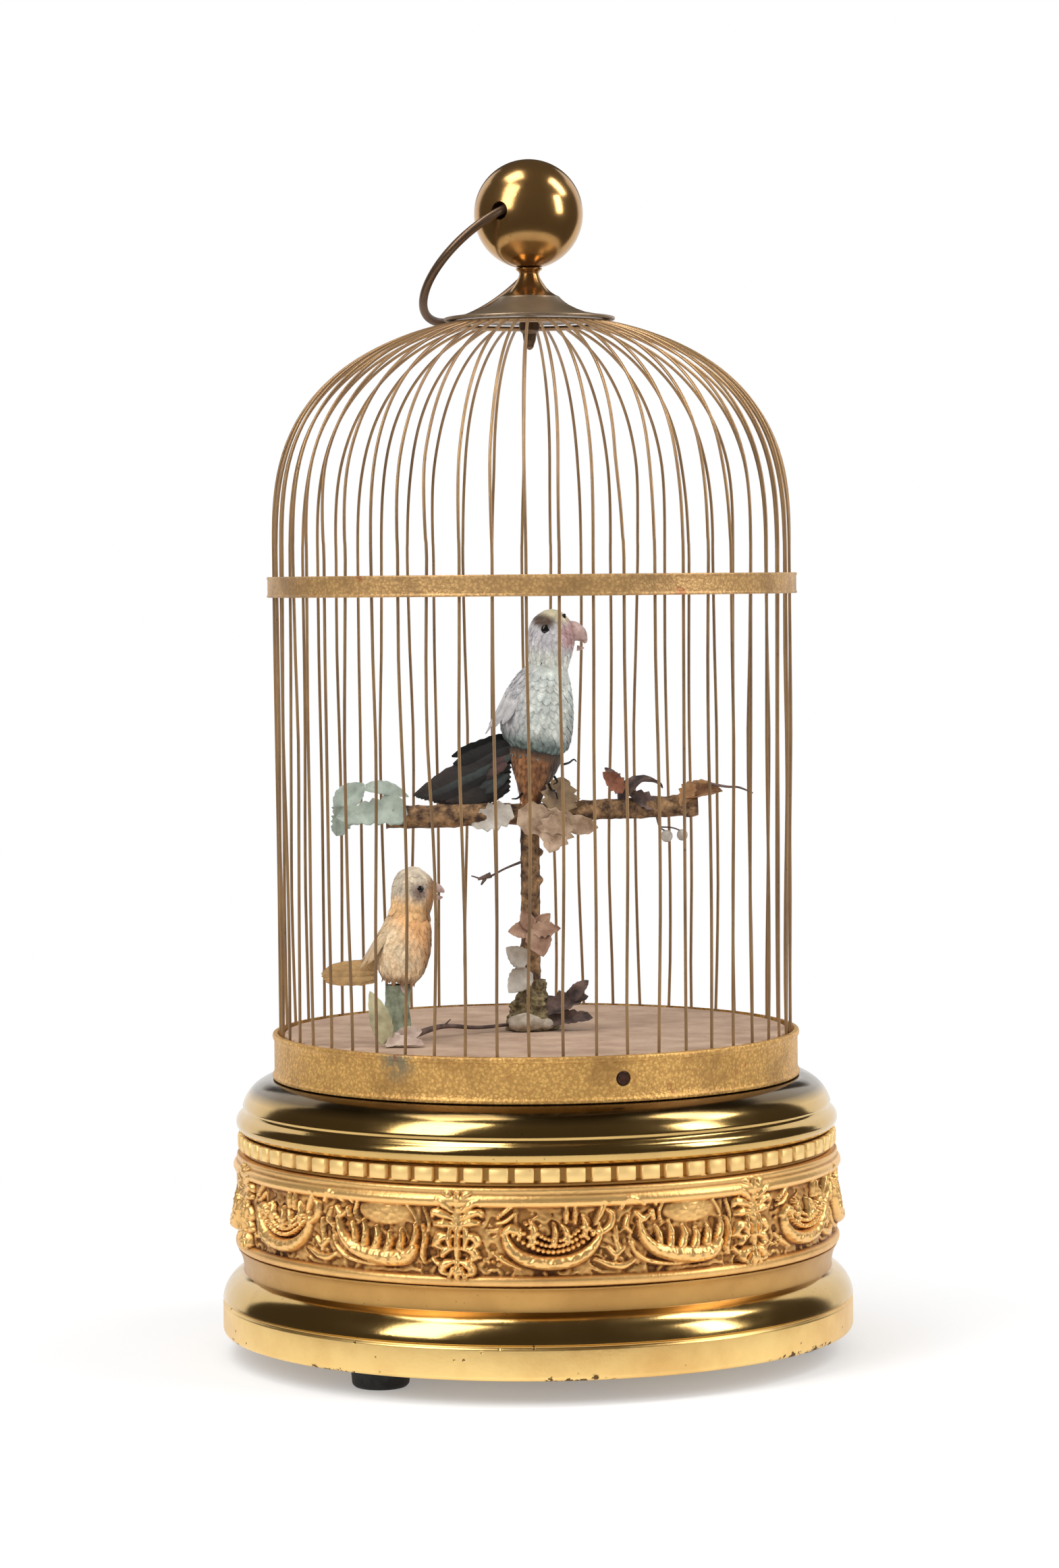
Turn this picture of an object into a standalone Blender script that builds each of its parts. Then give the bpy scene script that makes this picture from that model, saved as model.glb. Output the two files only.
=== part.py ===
"""Singing bird automaton: two feathered birds in a gilt wire cage on a round clockwork base.

Run with: blender --background --python part.py
Metres, +Z up. The origin is the centre of the circle that the three feet stand on, and the
viewer's side is -Y. Each object is one physical piece.
"""
import bmesh
import bpy
from math import acos, atan2, cos, pi, radians, sin, sqrt
from mathutils import Matrix, Vector

MM = 0.001

# Running clearance between pieces that touch or turn in each other
GAP = 0.3 * MM
SHEET = 1.0 * MM

# Feet and bottom cover
FOOT_RADIUS = 7.0 * MM
FOOT_INSET = 15.5 * MM
FOOT_BELOW_RIM = 5.8 * MM
FIRST_FOOT_ANGLE = radians(233.0)
COVER_RECESS = 5.2 * MM
COVER_THICKNESS = 1.2 * MM

# Cage: upright wires on a foot hoop, closed by a dome and a crown ring
WIRE_COUNT = 51
WIRE_WIDTH = 1.2 * MM
FIRST_WIRE_ANGLE = radians(268.8)
CAGE_RADIUS = 62.6 * MM
CAGE_LEAN = 0.4 * MM
CAGE_SPRING_HEIGHT = 125.4 * MM
DOME_RISE = 59.0 * MM
DOME_POWER = 3.0
DOME_STEPS = (0.17, 0.44, 0.82)
DOME_BULGE = 0.5 * MM
CROWN_RADIUS = 20.2 * MM
CROWN_WIDTH = 2.4 * MM

# Stepped mouldings of the base, each height measured up from the rim's lower edge
WALL_INSET = 8.0 * MM
RIM_PROJECTION = 6.4 * MM
FASCIA_HEIGHT = 8.2 * MM
LOWER_ROLL = 5.0 * MM
COVE_HEIGHT = 7.6 * MM
COVE_DEPTH = 1.2 * MM
FRIEZE_HEIGHT = 19.6 * MM
FRIEZE_THICKNESS = 1.5 * MM
FRIEZE_BORDER = 2.3 * MM
FRIEZE_RELIEF = 2.0 * MM
FRIEZE_SCROLLS = 18
LEDGE_HEIGHT = 3.0 * MM
LEDGE_THICKNESS = 2.1 * MM
DENTIL_COUNT = 72
DENTIL_HEIGHT = 4.2 * MM
DENTIL_DEPTH = 1.3 * MM
BEAD_HEIGHT = 5.4 * MM
BEAD_PROJECTION = 2.7 * MM
UPPER_ROLL = 6.6 * MM

# Collar strip and floor inside the cage
COLLAR_HEIGHT = 10.8 * MM
COLLAR_THICKNESS = 0.6 * MM
COLLAR_BEAD = 0.5 * MM
COLLAR_FLANGE = 2.2 * MM
SCREW_ANGLE = radians(288.3)
SCREW_RADIUS = 1.5 * MM
FLOOR_THICKNESS = 1.2 * MM
FLOOR_DROP = 0.2 * MM

# Band soldered round the middle of the wires
BAND_ABOVE_WEB = 116.9 * MM
BAND_HEIGHT = 5.0 * MM
BAND_THICKNESS = 0.8 * MM

# Cap, neck, pierced ball and hanging ring
CAP_RADIUS = 20.8 * MM
CAP_EDGE = 0.7 * MM
CAP_CONE_RISE = 3.3 * MM
CAP_STEP_RADIUS = 6.8 * MM
NECK_RADIUS = 3.0 * MM
NECK_HEIGHT = 8.4 * MM
BALL_RADIUS = 13.0 * MM
BALL_WALL = 1.2 * MM
RING_WIRE = 1.05 * MM
RING_RADIUS = 20.1 * MM
RING_HOLE = 2.2 * MM
RING_TURN = radians(32.4)
RING_DROOP = radians(44.5)

# Movement: plates, train and cams, seen from above
PLATE_RADIUS = 56.0 * MM
PLATE_THICKNESS = 1.8 * MM
PLATE_SPACING = 26.0 * MM
PILLAR_RADIUS = 2.5 * MM
PILLAR_CIRCLE = 48.0 * MM
PILLAR_ANGLES = (20.0, 140.0, 250.0)
MODULE = 1.25 * MM
GREAT_TEETH = 36
SECOND_PINION = 9
SECOND_TEETH = 27
THIRD_PINION = 9
THIRD_TEETH = 24
FLY_PINION = 8
CAM_ARBOR_AT = Vector((20.0 * MM, -14.0 * MM))
BARREL_DIRECTION = radians(135.6)
THIRD_DIRECTION = radians(-100.0)
FLY_DIRECTION = radians(180.0)
ARBOR_RADIUS = 1.2 * MM
PIVOT_RADIUS = 0.6 * MM
WINDING_ARBOR_RADIUS = 2.0 * MM
BARREL_RADIUS = 18.5 * MM
BARREL_HEIGHT = 14.0 * MM
WHEEL_THICKNESS = 1.4 * MM
PINION_LENGTH = 3.0 * MM
SPRING_TURNS = 3.0
SPRING_STRIP = 0.6 * MM
FLY_RADIUS = 9.0 * MM
FLY_HEIGHT = 16.0 * MM
VANE_THICKNESS = 0.8 * MM
CAM_RADIUS = 9.0 * MM
CAM_THICKNESS = 2.0 * MM
CAM_SPACING = 3.4 * MM
CAM_RISE = 1.2 * MM
PUMP_THROW = 2.5 * MM

# Levers between the cams and the rods
LEVER_THICKNESS = 1.6 * MM
LEVER_DEPTH = 2.0 * MM
LEVER_HUB = 1.9 * MM
LEVER_PIN = 0.6 * MM
LEVER_OFFSET = 3.0 * MM
SONG_PIVOT_HEIGHT = 14.6 * MM
STOP_FROM_FLY = Vector((12.5 * MM, -15.4 * MM))
STOP_REST_ANGLE = radians(101.3)
STOP_SWING = radians(15.0)
STOP_TIP_INSET = 6.7 * MM
STOP_PIN_REACH = 10.2 * MM
STOP_PIN_HEIGHT = 17.0 * MM

# Bellows and sliding-piston whistle on the upper plate
BELLOWS_AT = Vector((26.0 * MM, 24.0 * MM))
BELLOWS_LENGTH = 30.0 * MM
BELLOWS_WIDTH = 22.0 * MM
BOARD_THICKNESS = 1.5 * MM
LEATHER_HEIGHT = 7.6 * MM
WHISTLE_AT = Vector((-4.0 * MM, 46.0 * MM))
WHISTLE_LENGTH = 32.0 * MM
WHISTLE_SIDE = 8.0 * MM
WHISTLE_BORE = 2.4 * MM
PISTON_LENGTH = 7.0 * MM

# Winding key under the cover
KEY_SPAN = 28.0 * MM
KEY_HEIGHT = 6.5 * MM
KEY_THICKNESS = 1.8 * MM
KEY_HUB = 3.2 * MM

# Post, cross branch and rods, seen from above
POST_AT = Vector((-1.0 * MM, 0.0))
POST_RADIUS = 2.1 * MM
POST_BORE = 1.45 * MM
POST_HEIGHT = 55.0 * MM
TURN_TUBE_RADIUS = 1.15 * MM
TURN_TUBE_BORE = 0.75 * MM
SONG_ROD_RADIUS = 0.45 * MM
SONG_STROKE = 1.2 * MM
BRANCH_BELOW_TOP = 2.4 * MM
LEFT_BRANCH_LENGTH = 35.0 * MM
LEFT_BRANCH_RADIUS = 2.3 * MM
RIGHT_BRANCH_LENGTH = 41.0 * MM
RIGHT_BRANCH_RADIUS = 2.2 * MM

# Second bird's stem at the left front, set in from the wires
STEM_FROM_WIRES = 29.9 * MM
STEM_AT = Vector((STEM_FROM_WIRES - CAGE_RADIUS, -28.0 * MM))
STEM_RADIUS = 3.1 * MM
STEM_HEIGHT = 13.6 * MM

# Birds, foot to crown. Every station of a bird is in 48ths or 28ths of this height
UPPER_BIRD_HEIGHT = 48.0 * MM
LOWER_BIRD_HEIGHT = 28.0 * MM
UPPER_UNIT = UPPER_BIRD_HEIGHT / 48.0
LOWER_UNIT = LOWER_BIRD_HEIGHT / 28.0

# Heights above the ground, worked up from the sizes above
RIM_BOTTOM = FOOT_BELOW_RIM
COVER_BOTTOM = RIM_BOTTOM + COVER_RECESS
COVER_TOP = COVER_BOTTOM + COVER_THICKNESS
ROLL_TOP = RIM_BOTTOM + FASCIA_HEIGHT + LOWER_ROLL
COVE_TOP = ROLL_TOP + COVE_HEIGHT
FRIEZE_BOTTOM = COVE_TOP + GAP
FRIEZE_TOP = FRIEZE_BOTTOM + FRIEZE_HEIGHT
LEDGE_TOP = FRIEZE_TOP + LEDGE_HEIGHT
DENTIL_BOTTOM = LEDGE_TOP + GAP
DENTIL_TOP = DENTIL_BOTTOM + DENTIL_HEIGHT
BEAD_BOTTOM = DENTIL_TOP + GAP
BEAD_TOP = BEAD_BOTTOM + BEAD_HEIGHT
WEB_TOP = BEAD_TOP + UPPER_ROLL + 1.0 * MM
HOOP_BOTTOM = WEB_TOP + GAP
HOOP_TOP = HOOP_BOTTOM + WIRE_WIDTH
COLLAR_BOTTOM = WEB_TOP + GAP
COLLAR_TOP = COLLAR_BOTTOM + COLLAR_HEIGHT
FLOOR_TOP = COLLAR_TOP - FLOOR_DROP
FLOOR_BOTTOM = FLOOR_TOP - FLOOR_THICKNESS
SPRING_LINE = HOOP_BOTTOM + CAGE_SPRING_HEIGHT
LOWER_PLATE_BOTTOM = COVER_TOP + GAP
LOWER_PLATE_TOP = LOWER_PLATE_BOTTOM + PLATE_THICKNESS
UPPER_PLATE_BOTTOM = LOWER_PLATE_TOP + PLATE_SPACING
UPPER_PLATE_TOP = UPPER_PLATE_BOTTOM + PLATE_THICKNESS
SONG_PIVOT = UPPER_PLATE_TOP + SONG_PIVOT_HEIGHT
POST_TOP = FLOOR_TOP + POST_HEIGHT

# Radii, worked out from the cage
FOOT_WIRE_RADIUS = CAGE_RADIUS - CAGE_LEAN
COLLAR_INNER = FOOT_WIRE_RADIUS + WIRE_WIDTH / 2 + GAP
COLLAR_OUTER = COLLAR_INNER + COLLAR_THICKNESS
PAN_RADIUS = FOOT_WIRE_RADIUS - WIRE_WIDTH / 2 - GAP
WALL_RADIUS = CAGE_RADIUS + WALL_INSET
BANDS_INNER = WALL_RADIUS + GAP
RIM_RADIUS = WALL_RADIUS + RIM_PROJECTION
FOOT_CIRCLE = RIM_RADIUS - FOOT_INSET
COVE_RADIUS = BANDS_INNER + 1.1 * MM
BAND_INNER = CAGE_RADIUS + WIRE_WIDTH / 2 + GAP

# Drawing detail: sides of round pieces
BIG_ROUND = 40
ROUND = 20
SMALL_ROUND = 16
PIN_ROUND = 10


def dome_point(angle, bulge=0.0):
    """Point (radius, height) on the wires' centre line, or that far outside it."""
    rise = DOME_RISE * sin(angle) ** (2.0 / DOME_POWER)
    return CAGE_RADIUS * cos(angle) + bulge * cos(angle), SPRING_LINE + rise + bulge * sin(angle)


CROWN_ANGLE = acos(CROWN_RADIUS / CAGE_RADIUS)
CROWN_HEIGHT = dome_point(CROWN_ANGLE)[1]
CAP_BOTTOM = CROWN_HEIGHT + WIRE_WIDTH / 2 + GAP
CAP_STEP = CAP_BOTTOM + CAP_EDGE + CAP_CONE_RISE
NECK_TOP = CAP_STEP + NECK_HEIGHT
BALL_CENTRE = Vector((0.0, 0.0, NECK_TOP + GAP + BALL_RADIUS))


def clear_scene():
    for old in list(bpy.data.objects):
        bpy.data.objects.remove(old, do_unlink=True)


def material(name, colour, roughness, metallic):
    made = bpy.data.materials.new(name)
    made.use_nodes = True
    shader = made.node_tree.nodes["Principled BSDF"]
    shader.inputs["Base Color"].default_value = (*colour, 1.0)
    shader.inputs["Roughness"].default_value = roughness
    shader.inputs["Metallic"].default_value = metallic
    return made


def gilt(name):
    return material(name, (0.72, 0.47, 0.20), 0.28, 1.0)


def polished_gilt(name):
    return material(name, (0.80, 0.60, 0.34), 0.12, 1.0)


def movement_brass(name):
    return material(name, (0.74, 0.56, 0.26), 0.35, 1.0)


def steel(name):
    return material(name, (0.55, 0.55, 0.57), 0.35, 1.0)


def feather(name, colour):
    return material(name, colour, 0.85, 0.0)


def bark(name):
    return material(name, (0.23, 0.12, 0.06), 0.9, 0.0)


def leaf_cloth(name, colour):
    return material(name, colour, 0.8, 0.0)


def add_object(name, bm, surface, at=(0.0, 0.0, 0.0), parent=None, smooth=True):
    """Turn a finished bmesh into a named object with its normals pointing out."""
    bmesh.ops.recalc_face_normals(bm, faces=bm.faces)
    mesh = bpy.data.meshes.new(name)
    bm.to_mesh(mesh)
    bm.free()
    if smooth:
        mesh.shade_smooth()
        mesh.set_sharp_from_angle(angle=radians(35.0))
    made = bpy.data.objects.new(name, mesh)
    made.location = at
    made.parent = parent
    bpy.context.scene.collection.objects.link(made)
    if surface is not None:
        made.data.materials.append(surface(name + "_surface"))
    return made


def lofted(name, rings, surface, at=(0.0, 0.0, 0.0), parent=None):
    """Skin a row of rings that have the same number of points, and close both ends."""
    bm = bmesh.new()
    rows = [[bm.verts.new(point) for point in ring] for ring in rings]
    for low, high in zip(rows, rows[1:]):
        for i in range(len(low)):
            j = (i + 1) % len(low)
            bm.faces.new((low[i], low[j], high[j], high[i]))
    bm.faces.new(rows[0])
    bm.faces.new(rows[-1])
    return add_object(name, bm, surface, at, parent)


def turned(name, profile, surface, at=(0.0, 0.0, 0.0), parent=None, sides=BIG_ROUND):
    """Spin a profile of (radius, height) round Z. A profile that starts and ends at radius 0
    is closed by the axis, and any other one closes on itself as a ring."""
    bm = bmesh.new()
    rows = []
    for radius, height in profile:
        if radius == 0.0:
            rows.append([bm.verts.new((0.0, 0.0, height))])
            continue
        turn = [2 * pi * i / sides for i in range(sides)]
        rows.append([bm.verts.new((radius * cos(a), radius * sin(a), height)) for a in turn])
    on_axis = profile[0][0] == 0.0
    pairs = list(zip(rows, rows[1:])) if on_axis else list(zip(rows, rows[1:] + rows[:1]))
    for low, high in pairs:
        for i in range(sides):
            j = (i + 1) % sides
            if len(low) == 1:
                bm.faces.new((low[0], high[i], high[j]))
            elif len(high) == 1:
                bm.faces.new((low[i], high[0], low[j]))
            else:
                bm.faces.new((low[i], low[j], high[j], high[i]))
    return add_object(name, bm, surface, at, parent)


def circle(radius, centre=(0.0, 0.0), sides=PIN_ROUND):
    turn = [2 * pi * i / sides for i in range(sides)]
    return [(centre[0] + radius * cos(a), centre[1] + radius * sin(a)) for a in turn]


def extruded(name, outline, low, high, surface, holes=(), at=(0.0, 0.0), parent=None):
    """Extrude a flat outline with holes in it from height low to height high."""
    bm = bmesh.new()
    edges = []
    for loop in (outline, *holes):
        points = [bm.verts.new((x, y, low)) for x, y in loop]
        edges += [bm.edges.new((a, b)) for a, b in zip(points, points[1:] + points[:1])]
    filled = bmesh.ops.triangle_fill(bm, edges=edges, use_beauty=True)
    floor = [item for item in filled["geom"] if isinstance(item, bmesh.types.BMFace)]
    raised = bmesh.ops.extrude_face_region(bm, geom=floor)
    top = [item for item in raised["geom"] if isinstance(item, bmesh.types.BMVert)]
    bmesh.ops.translate(bm, verts=top, vec=(0.0, 0.0, high - low))
    return add_object(name, bm, surface, (at[0], at[1], 0.0), parent)


def tube(name, points, radii, surface, sides=8, at=(0.0, 0.0, 0.0), parent=None, flat=1.0):
    """Round rod of changing radius along a row of points. Flat squeezes it across."""
    path = [Vector(point) for point in points]
    rings = []
    side = None
    for i, point in enumerate(path):
        ahead = path[min(i + 1, len(path) - 1)] - path[max(i - 1, 0)]
        ahead.normalize()
        if side is None:
            side = ahead.cross(Vector((0.0, 1.0, 0.0)))
            if side.length < 0.1:
                side = ahead.cross(Vector((1.0, 0.0, 0.0)))
        side = (side - ahead * side.dot(ahead)).normalized()
        across = ahead.cross(side)
        turn = [2 * pi * k / sides for k in range(sides)]
        rings.append([point + radii[i] * (side * cos(a) + across * sin(a) * flat) for a in turn])
    return lofted(name, rings, surface, at, parent)


def box(name, low, high, surface):
    (x0, y0, z0), (x1, y1, z1) = low, high
    rings = [[(x0, y0, z), (x1, y0, z), (x1, y1, z), (x0, y1, z)] for z in (z0, z1)]
    return lofted(name, rings, surface)


def hide_tool(tool):
    tool.hide_render = True
    tool.display_type = "WIRE"


def combine(piece, tool, operation):
    """Join a helper solid to a piece, or cut it away, with a Boolean."""
    step = piece.modifiers.new(operation.lower(), "BOOLEAN")
    step.operation = operation
    step.solver = "EXACT"
    step.object = tool
    hide_tool(tool)


def drill(piece, radius, centre, low, high, sides=PIN_ROUND):
    name = f"{piece.name}_drill_{len(piece.modifiers)}"
    combine(piece, extruded(name, circle(radius, centre, sides), low, high, None), "DIFFERENCE")


def quarter_round(centre, radius, start, end, steps):
    """Points on an arc round (radius, height) centre, between two angles in degrees."""
    points = []
    for i in range(steps + 1):
        a = radians(start + (end - start) * i / steps)
        points.append((centre[0] + radius * cos(a), centre[1] + radius * sin(a)))
    return points


# Base casing


def build_base_rim():
    """Bottom moulding: upright fascia, polished convex roll and a cove under the frieze."""
    fascia_top = RIM_BOTTOM + FASCIA_HEIGHT
    groove = 0.4 * MM
    roll = quarter_round((RIM_RADIUS - LOWER_ROLL, fascia_top), LOWER_ROLL, 4.0, 84.0, 3)
    cove_waist = COVE_RADIUS - 0.2 * MM
    outer = [(RIM_RADIUS - 0.6 * MM, RIM_BOTTOM), (RIM_RADIUS, RIM_BOTTOM + 0.6 * MM)]
    outer += [(RIM_RADIUS, fascia_top - 2 * groove), (RIM_RADIUS - groove, fascia_top - groove)]
    outer += roll
    outer += [(cove_waist, ROLL_TOP + COVE_HEIGHT * 0.35)]
    outer += [(COVE_RADIUS + COVE_DEPTH, COVE_TOP)]
    shelf = ROLL_TOP - 1.5 * MM
    inner = [(BANDS_INNER, COVE_TOP), (BANDS_INNER, shelf), (WALL_RADIUS - SHEET, shelf)]
    inner += [(RIM_RADIUS - 1.2 * MM, COVER_TOP + 0.5 * MM), (RIM_RADIUS - 1.2 * MM, RIM_BOTTOM)]
    turned("base_rim", outer + inner, polished_gilt)


def build_base_shell():
    """Spun shell: plain wall behind the bands, bead, polished upper roll and top web."""
    bead_radius = WALL_RADIUS + BEAD_PROJECTION
    roll_centre = (bead_radius - 1.6 * MM - UPPER_ROLL, BEAD_TOP + 1.0 * MM)
    foot = ROLL_TOP - 1.5 * MM + GAP
    wall_inner = WALL_RADIUS - SHEET
    outer = [(WALL_RADIUS, foot), (WALL_RADIUS, BEAD_BOTTOM), (bead_radius - 1.9 * MM, BEAD_BOTTOM)]
    outer += [(bead_radius, BEAD_BOTTOM + BEAD_HEIGHT * 0.35)]
    outer += [(bead_radius, BEAD_BOTTOM + BEAD_HEIGHT * 0.65)]
    outer += [(bead_radius - 1.6 * MM, BEAD_TOP)]
    outer += quarter_round(roll_centre, UPPER_ROLL, 0.0, 90.0, 4)
    web_edge = PAN_RADIUS - 3.2 * MM
    inner = [(web_edge, WEB_TOP), (web_edge, WEB_TOP - SHEET)]
    inner += [(roll_centre[0], WEB_TOP - SHEET), (wall_inner, BEAD_TOP), (wall_inner, foot)]
    turned("base_shell", outer + inner, polished_gilt)


def build_frieze_band():
    """Embossed strip between two borders, with the scrolls as a rolling relief."""
    sides = FRIEZE_SCROLLS * 3
    base = BANDS_INNER + FRIEZE_THICKNESS
    low = FRIEZE_BOTTOM + FRIEZE_BORDER
    high = FRIEZE_TOP - FRIEZE_BORDER
    middle = (low + high) / 2
    rows = [(BANDS_INNER, FRIEZE_BOTTOM, 0.0), (base + 0.8 * MM, FRIEZE_BOTTOM, 0.0)]
    rows += [(base + 0.8 * MM, low, 0.0)]
    rows += [(base, (low + middle) / 2, 1.0), (base, (middle + high) / 2, -1.0)]
    rows += [(base + 2.0 * MM, high, 0.0)]
    rows += [(base + 2.0 * MM, FRIEZE_TOP, 0.0), (base + 0.6 * MM, FRIEZE_TOP + 0.1 * MM, 0.0)]
    rows += [(base + 0.6 * MM, LEDGE_TOP, 0.0), (BANDS_INNER, LEDGE_TOP, 0.0)]
    bm = bmesh.new()
    grid = []
    for radius, height, swell in rows:
        ring = []
        for i in range(sides):
            a = 2 * pi * i / sides
            wave = 0.5 + 0.5 * cos(FRIEZE_SCROLLS * a / 2 + swell * pi / 2)
            reach = radius + FRIEZE_RELIEF * wave * abs(swell)
            ring.append(bm.verts.new((reach * cos(a), reach * sin(a), height)))
        grid.append(ring)
    for low_ring, high_ring in zip(grid, grid[1:] + grid[:1]):
        for i in range(sides):
            j = (i + 1) % sides
            bm.faces.new((low_ring[i], low_ring[j], high_ring[j], high_ring[i]))
    add_object("frieze_band", bm, gilt)


def build_dentil_ring():
    """Ring of small square blocks under the bead."""
    outer = BANDS_INNER + 0.7 * MM + DENTIL_DEPTH
    root = outer - DENTIL_DEPTH
    pitch = 2 * pi / DENTIL_COUNT
    outline = []
    for i in range(DENTIL_COUNT):
        a = i * pitch
        corners = ((root, -0.34), (outer, -0.34), (outer, 0.34), (root, 0.34))
        for radius, share in corners:
            outline.append((radius * cos(a + share * pitch), radius * sin(a + share * pitch)))
    bore = circle(BANDS_INNER, sides=BIG_ROUND)
    extruded("dentil_ring", outline, DENTIL_BOTTOM, DENTIL_TOP, gilt, holes=[bore])


def build_bottom_cover():
    """Flat cover inside the rim, with the start lever's stud riveted in it."""
    cover = extruded("bottom_cover", circle(RIM_RADIUS - 1.2 * MM - GAP, sides=BIG_ROUND),
                     COVER_BOTTOM, COVER_TOP, movement_brass,
                     holes=[circle(WINDING_ARBOR_RADIUS + GAP + 0.1 * MM, BARREL_AT),
                            circle(2.7 * MM, STOP_SLOT_AT)])
    stud = extruded("bottom_cover_stud", circle(ARBOR_RADIUS, STOP_PIVOT),
                    COVER_BOTTOM - 2.6 * MM, COVER_TOP - 0.4 * MM, None)
    combine(cover, stud, "UNION")


def build_feet():
    for i, side in enumerate(("front", "right", "back")):
        a = FIRST_FOOT_ANGLE + i * 2 * pi / 3
        at = (FOOT_CIRCLE * cos(a), FOOT_CIRCLE * sin(a), 0.0)
        top = COVER_BOTTOM - GAP
        profile = [(0.0, 0.0), (FOOT_RADIUS - 1.0 * MM, 0.0), (FOOT_RADIUS, 1.0 * MM)]
        profile += [(FOOT_RADIUS, top), (0.0, top)]
        turned(f"rubber_foot_{side}", profile, lambda name: material(name, (0.02,) * 3, 0.7, 0.0),
               at, sides=SMALL_ROUND)


def build_collar():
    """Pierced strip round the foot of the cage, with a flange below and a beaded top."""
    flange = COLLAR_INNER + COLLAR_FLANGE
    profile = [(COLLAR_INNER, COLLAR_BOTTOM), (flange, COLLAR_BOTTOM)]
    profile += [(flange, COLLAR_BOTTOM + 1.2 * MM), (COLLAR_OUTER, COLLAR_BOTTOM + 2.2 * MM)]
    profile += [(COLLAR_OUTER, COLLAR_TOP - 1.2 * MM), (COLLAR_OUTER + COLLAR_BEAD, COLLAR_TOP - 0.6 * MM)]
    profile += [(COLLAR_OUTER, COLLAR_TOP), (COLLAR_INNER, COLLAR_TOP)]
    collar = turned("collar_strip", profile, gilt)
    height = COLLAR_BOTTOM + COLLAR_HEIGHT * 0.5
    outward = Vector((cos(SCREW_ANGLE), sin(SCREW_ANGLE), 0.0))
    inside = outward * (COLLAR_INNER - SHEET)
    beyond = outward * (COLLAR_OUTER + SHEET)
    lift = Vector((0.0, 0.0, height))
    cutter = tube("collar_screw_hole", [inside + lift, beyond + lift], [SCREW_RADIUS + GAP] * 2, None)
    combine(collar, cutter, "DIFFERENCE")
    shank = [outward * (COLLAR_INNER + 0.05 * MM) + lift, outward * (COLLAR_OUTER - 0.1 * MM) + lift]
    tube("collar_screw", shank, [SCREW_RADIUS] * 2, steel)


def build_floor_pan():
    """Floor of the cage: a shallow pan turned upside down, standing on the top web."""
    foot = WEB_TOP + GAP
    wall = PAN_RADIUS - SHEET
    profile = [(0.0, FLOOR_TOP), (PAN_RADIUS, FLOOR_TOP), (PAN_RADIUS, foot), (wall, foot)]
    profile += [(wall, FLOOR_BOTTOM), (0.0, FLOOR_BOTTOM)]
    pan = turned("floor_pan", profile, lambda name: material(name, (0.62, 0.45, 0.38), 0.8, 0.0))
    for centre in (POST_AT, STEM_AT):
        drill(pan, POST_BORE, centre, FLOOR_BOTTOM - SHEET, FLOOR_TOP + SHEET)


# Cage


def wire_frames():
    """Cross-sections up one wire: (radius, height) of the outer and of the inner face."""
    half = WIRE_WIDTH / 2
    line = [(CAGE_RADIUS, SPRING_LINE)] + [dome_point(a, DOME_BULGE) for a in DOME_STEPS]
    frames = []
    for i, (radius, height) in enumerate(line):
        ahead = line[i + 1] if i + 1 < len(line) else (CROWN_RADIUS, CROWN_HEIGHT)
        behind = line[i - 1] if i else (FOOT_WIRE_RADIUS, HOOP_TOP)
        step = Vector((ahead[0] - behind[0], ahead[1] - behind[1])).normalized()
        out = (step[1] * half, -step[0] * half)
        frames.append(((radius + out[0], height + out[1]), (radius - out[0], height - out[1])))
    return frames


def ring_corner(bm, radius, height, angle):
    return bm.verts.new((radius * cos(angle), radius * sin(angle), height))


def ring_of_corners(bm, corners, open_side):
    """Solid ring with its side open_side left open under each wire. Returns the four corners
    of each opening, outer or upper pair first."""
    count = 2 * WIRE_COUNT
    half = WIRE_WIDTH / 2
    grid = []
    for i in range(count):
        middle = FIRST_WIRE_ANGLE + (i // 2) * 2 * pi / WIRE_COUNT
        reach = max(radius for radius, _ in corners)
        a = middle + (-1 if i % 2 == 0 else 1) * half / reach
        grid.append([ring_corner(bm, radius, height, a) for radius, height in corners])
    openings = []
    for i in range(count):
        here, there = grid[i], grid[(i + 1) % count]
        for side in range(len(corners)):
            after = (side + 1) % len(corners)
            if side == open_side and i % 2 == 0:
                openings.append((here[side], there[side], there[after], here[after]))
                continue
            bm.faces.new((here[side], there[side], there[after], here[after]))
    return openings


def build_cage_wires():
    """Foot hoop, bent wires and crown ring, soldered into one piece."""
    half = WIRE_WIDTH / 2
    bm = bmesh.new()
    low, high = HOOP_BOTTOM, HOOP_TOP
    out, inn = FOOT_WIRE_RADIUS + half, FOOT_WIRE_RADIUS - half
    hoop = ring_of_corners(bm, [(out, high), (inn, high), (FOOT_WIRE_RADIUS, low)], 0)
    top, bottom = CROWN_HEIGHT + half, CROWN_HEIGHT - half
    edge, bore = CROWN_RADIUS, CROWN_RADIUS - CROWN_WIDTH
    crown = ring_of_corners(bm, [(edge, top), (edge, bottom), (bore, CROWN_HEIGHT)], 0)
    frames = wire_frames()
    for i in range(WIRE_COUNT):
        middle = FIRST_WIRE_ANGLE + i * 2 * pi / WIRE_COUNT
        rows = [hoop[i]]
        for outer, inner in frames:
            spread = half / outer[0]
            row = [ring_corner(bm, *outer, middle - spread), ring_corner(bm, *outer, middle + spread)]
            row += [ring_corner(bm, *inner, middle + spread), ring_corner(bm, *inner, middle - spread)]
            rows.append(row)
        rows.append(crown[i])
        for low_row, high_row in zip(rows, rows[1:]):
            for k in range(4):
                m = (k + 1) % 4
                bm.faces.new((low_row[k], low_row[m], high_row[m], high_row[k]))
    add_object("cage_wires", bm, gilt, smooth=False)


def build_mid_band():
    low = WEB_TOP + BAND_ABOVE_WEB
    high = low + BAND_HEIGHT
    outer = BAND_INNER + BAND_THICKNESS
    profile = [(BAND_INNER, low), (outer, low), (outer, high), (BAND_INNER, high)]
    turned("mid_band", profile, gilt)


# Cap and ring


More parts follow.
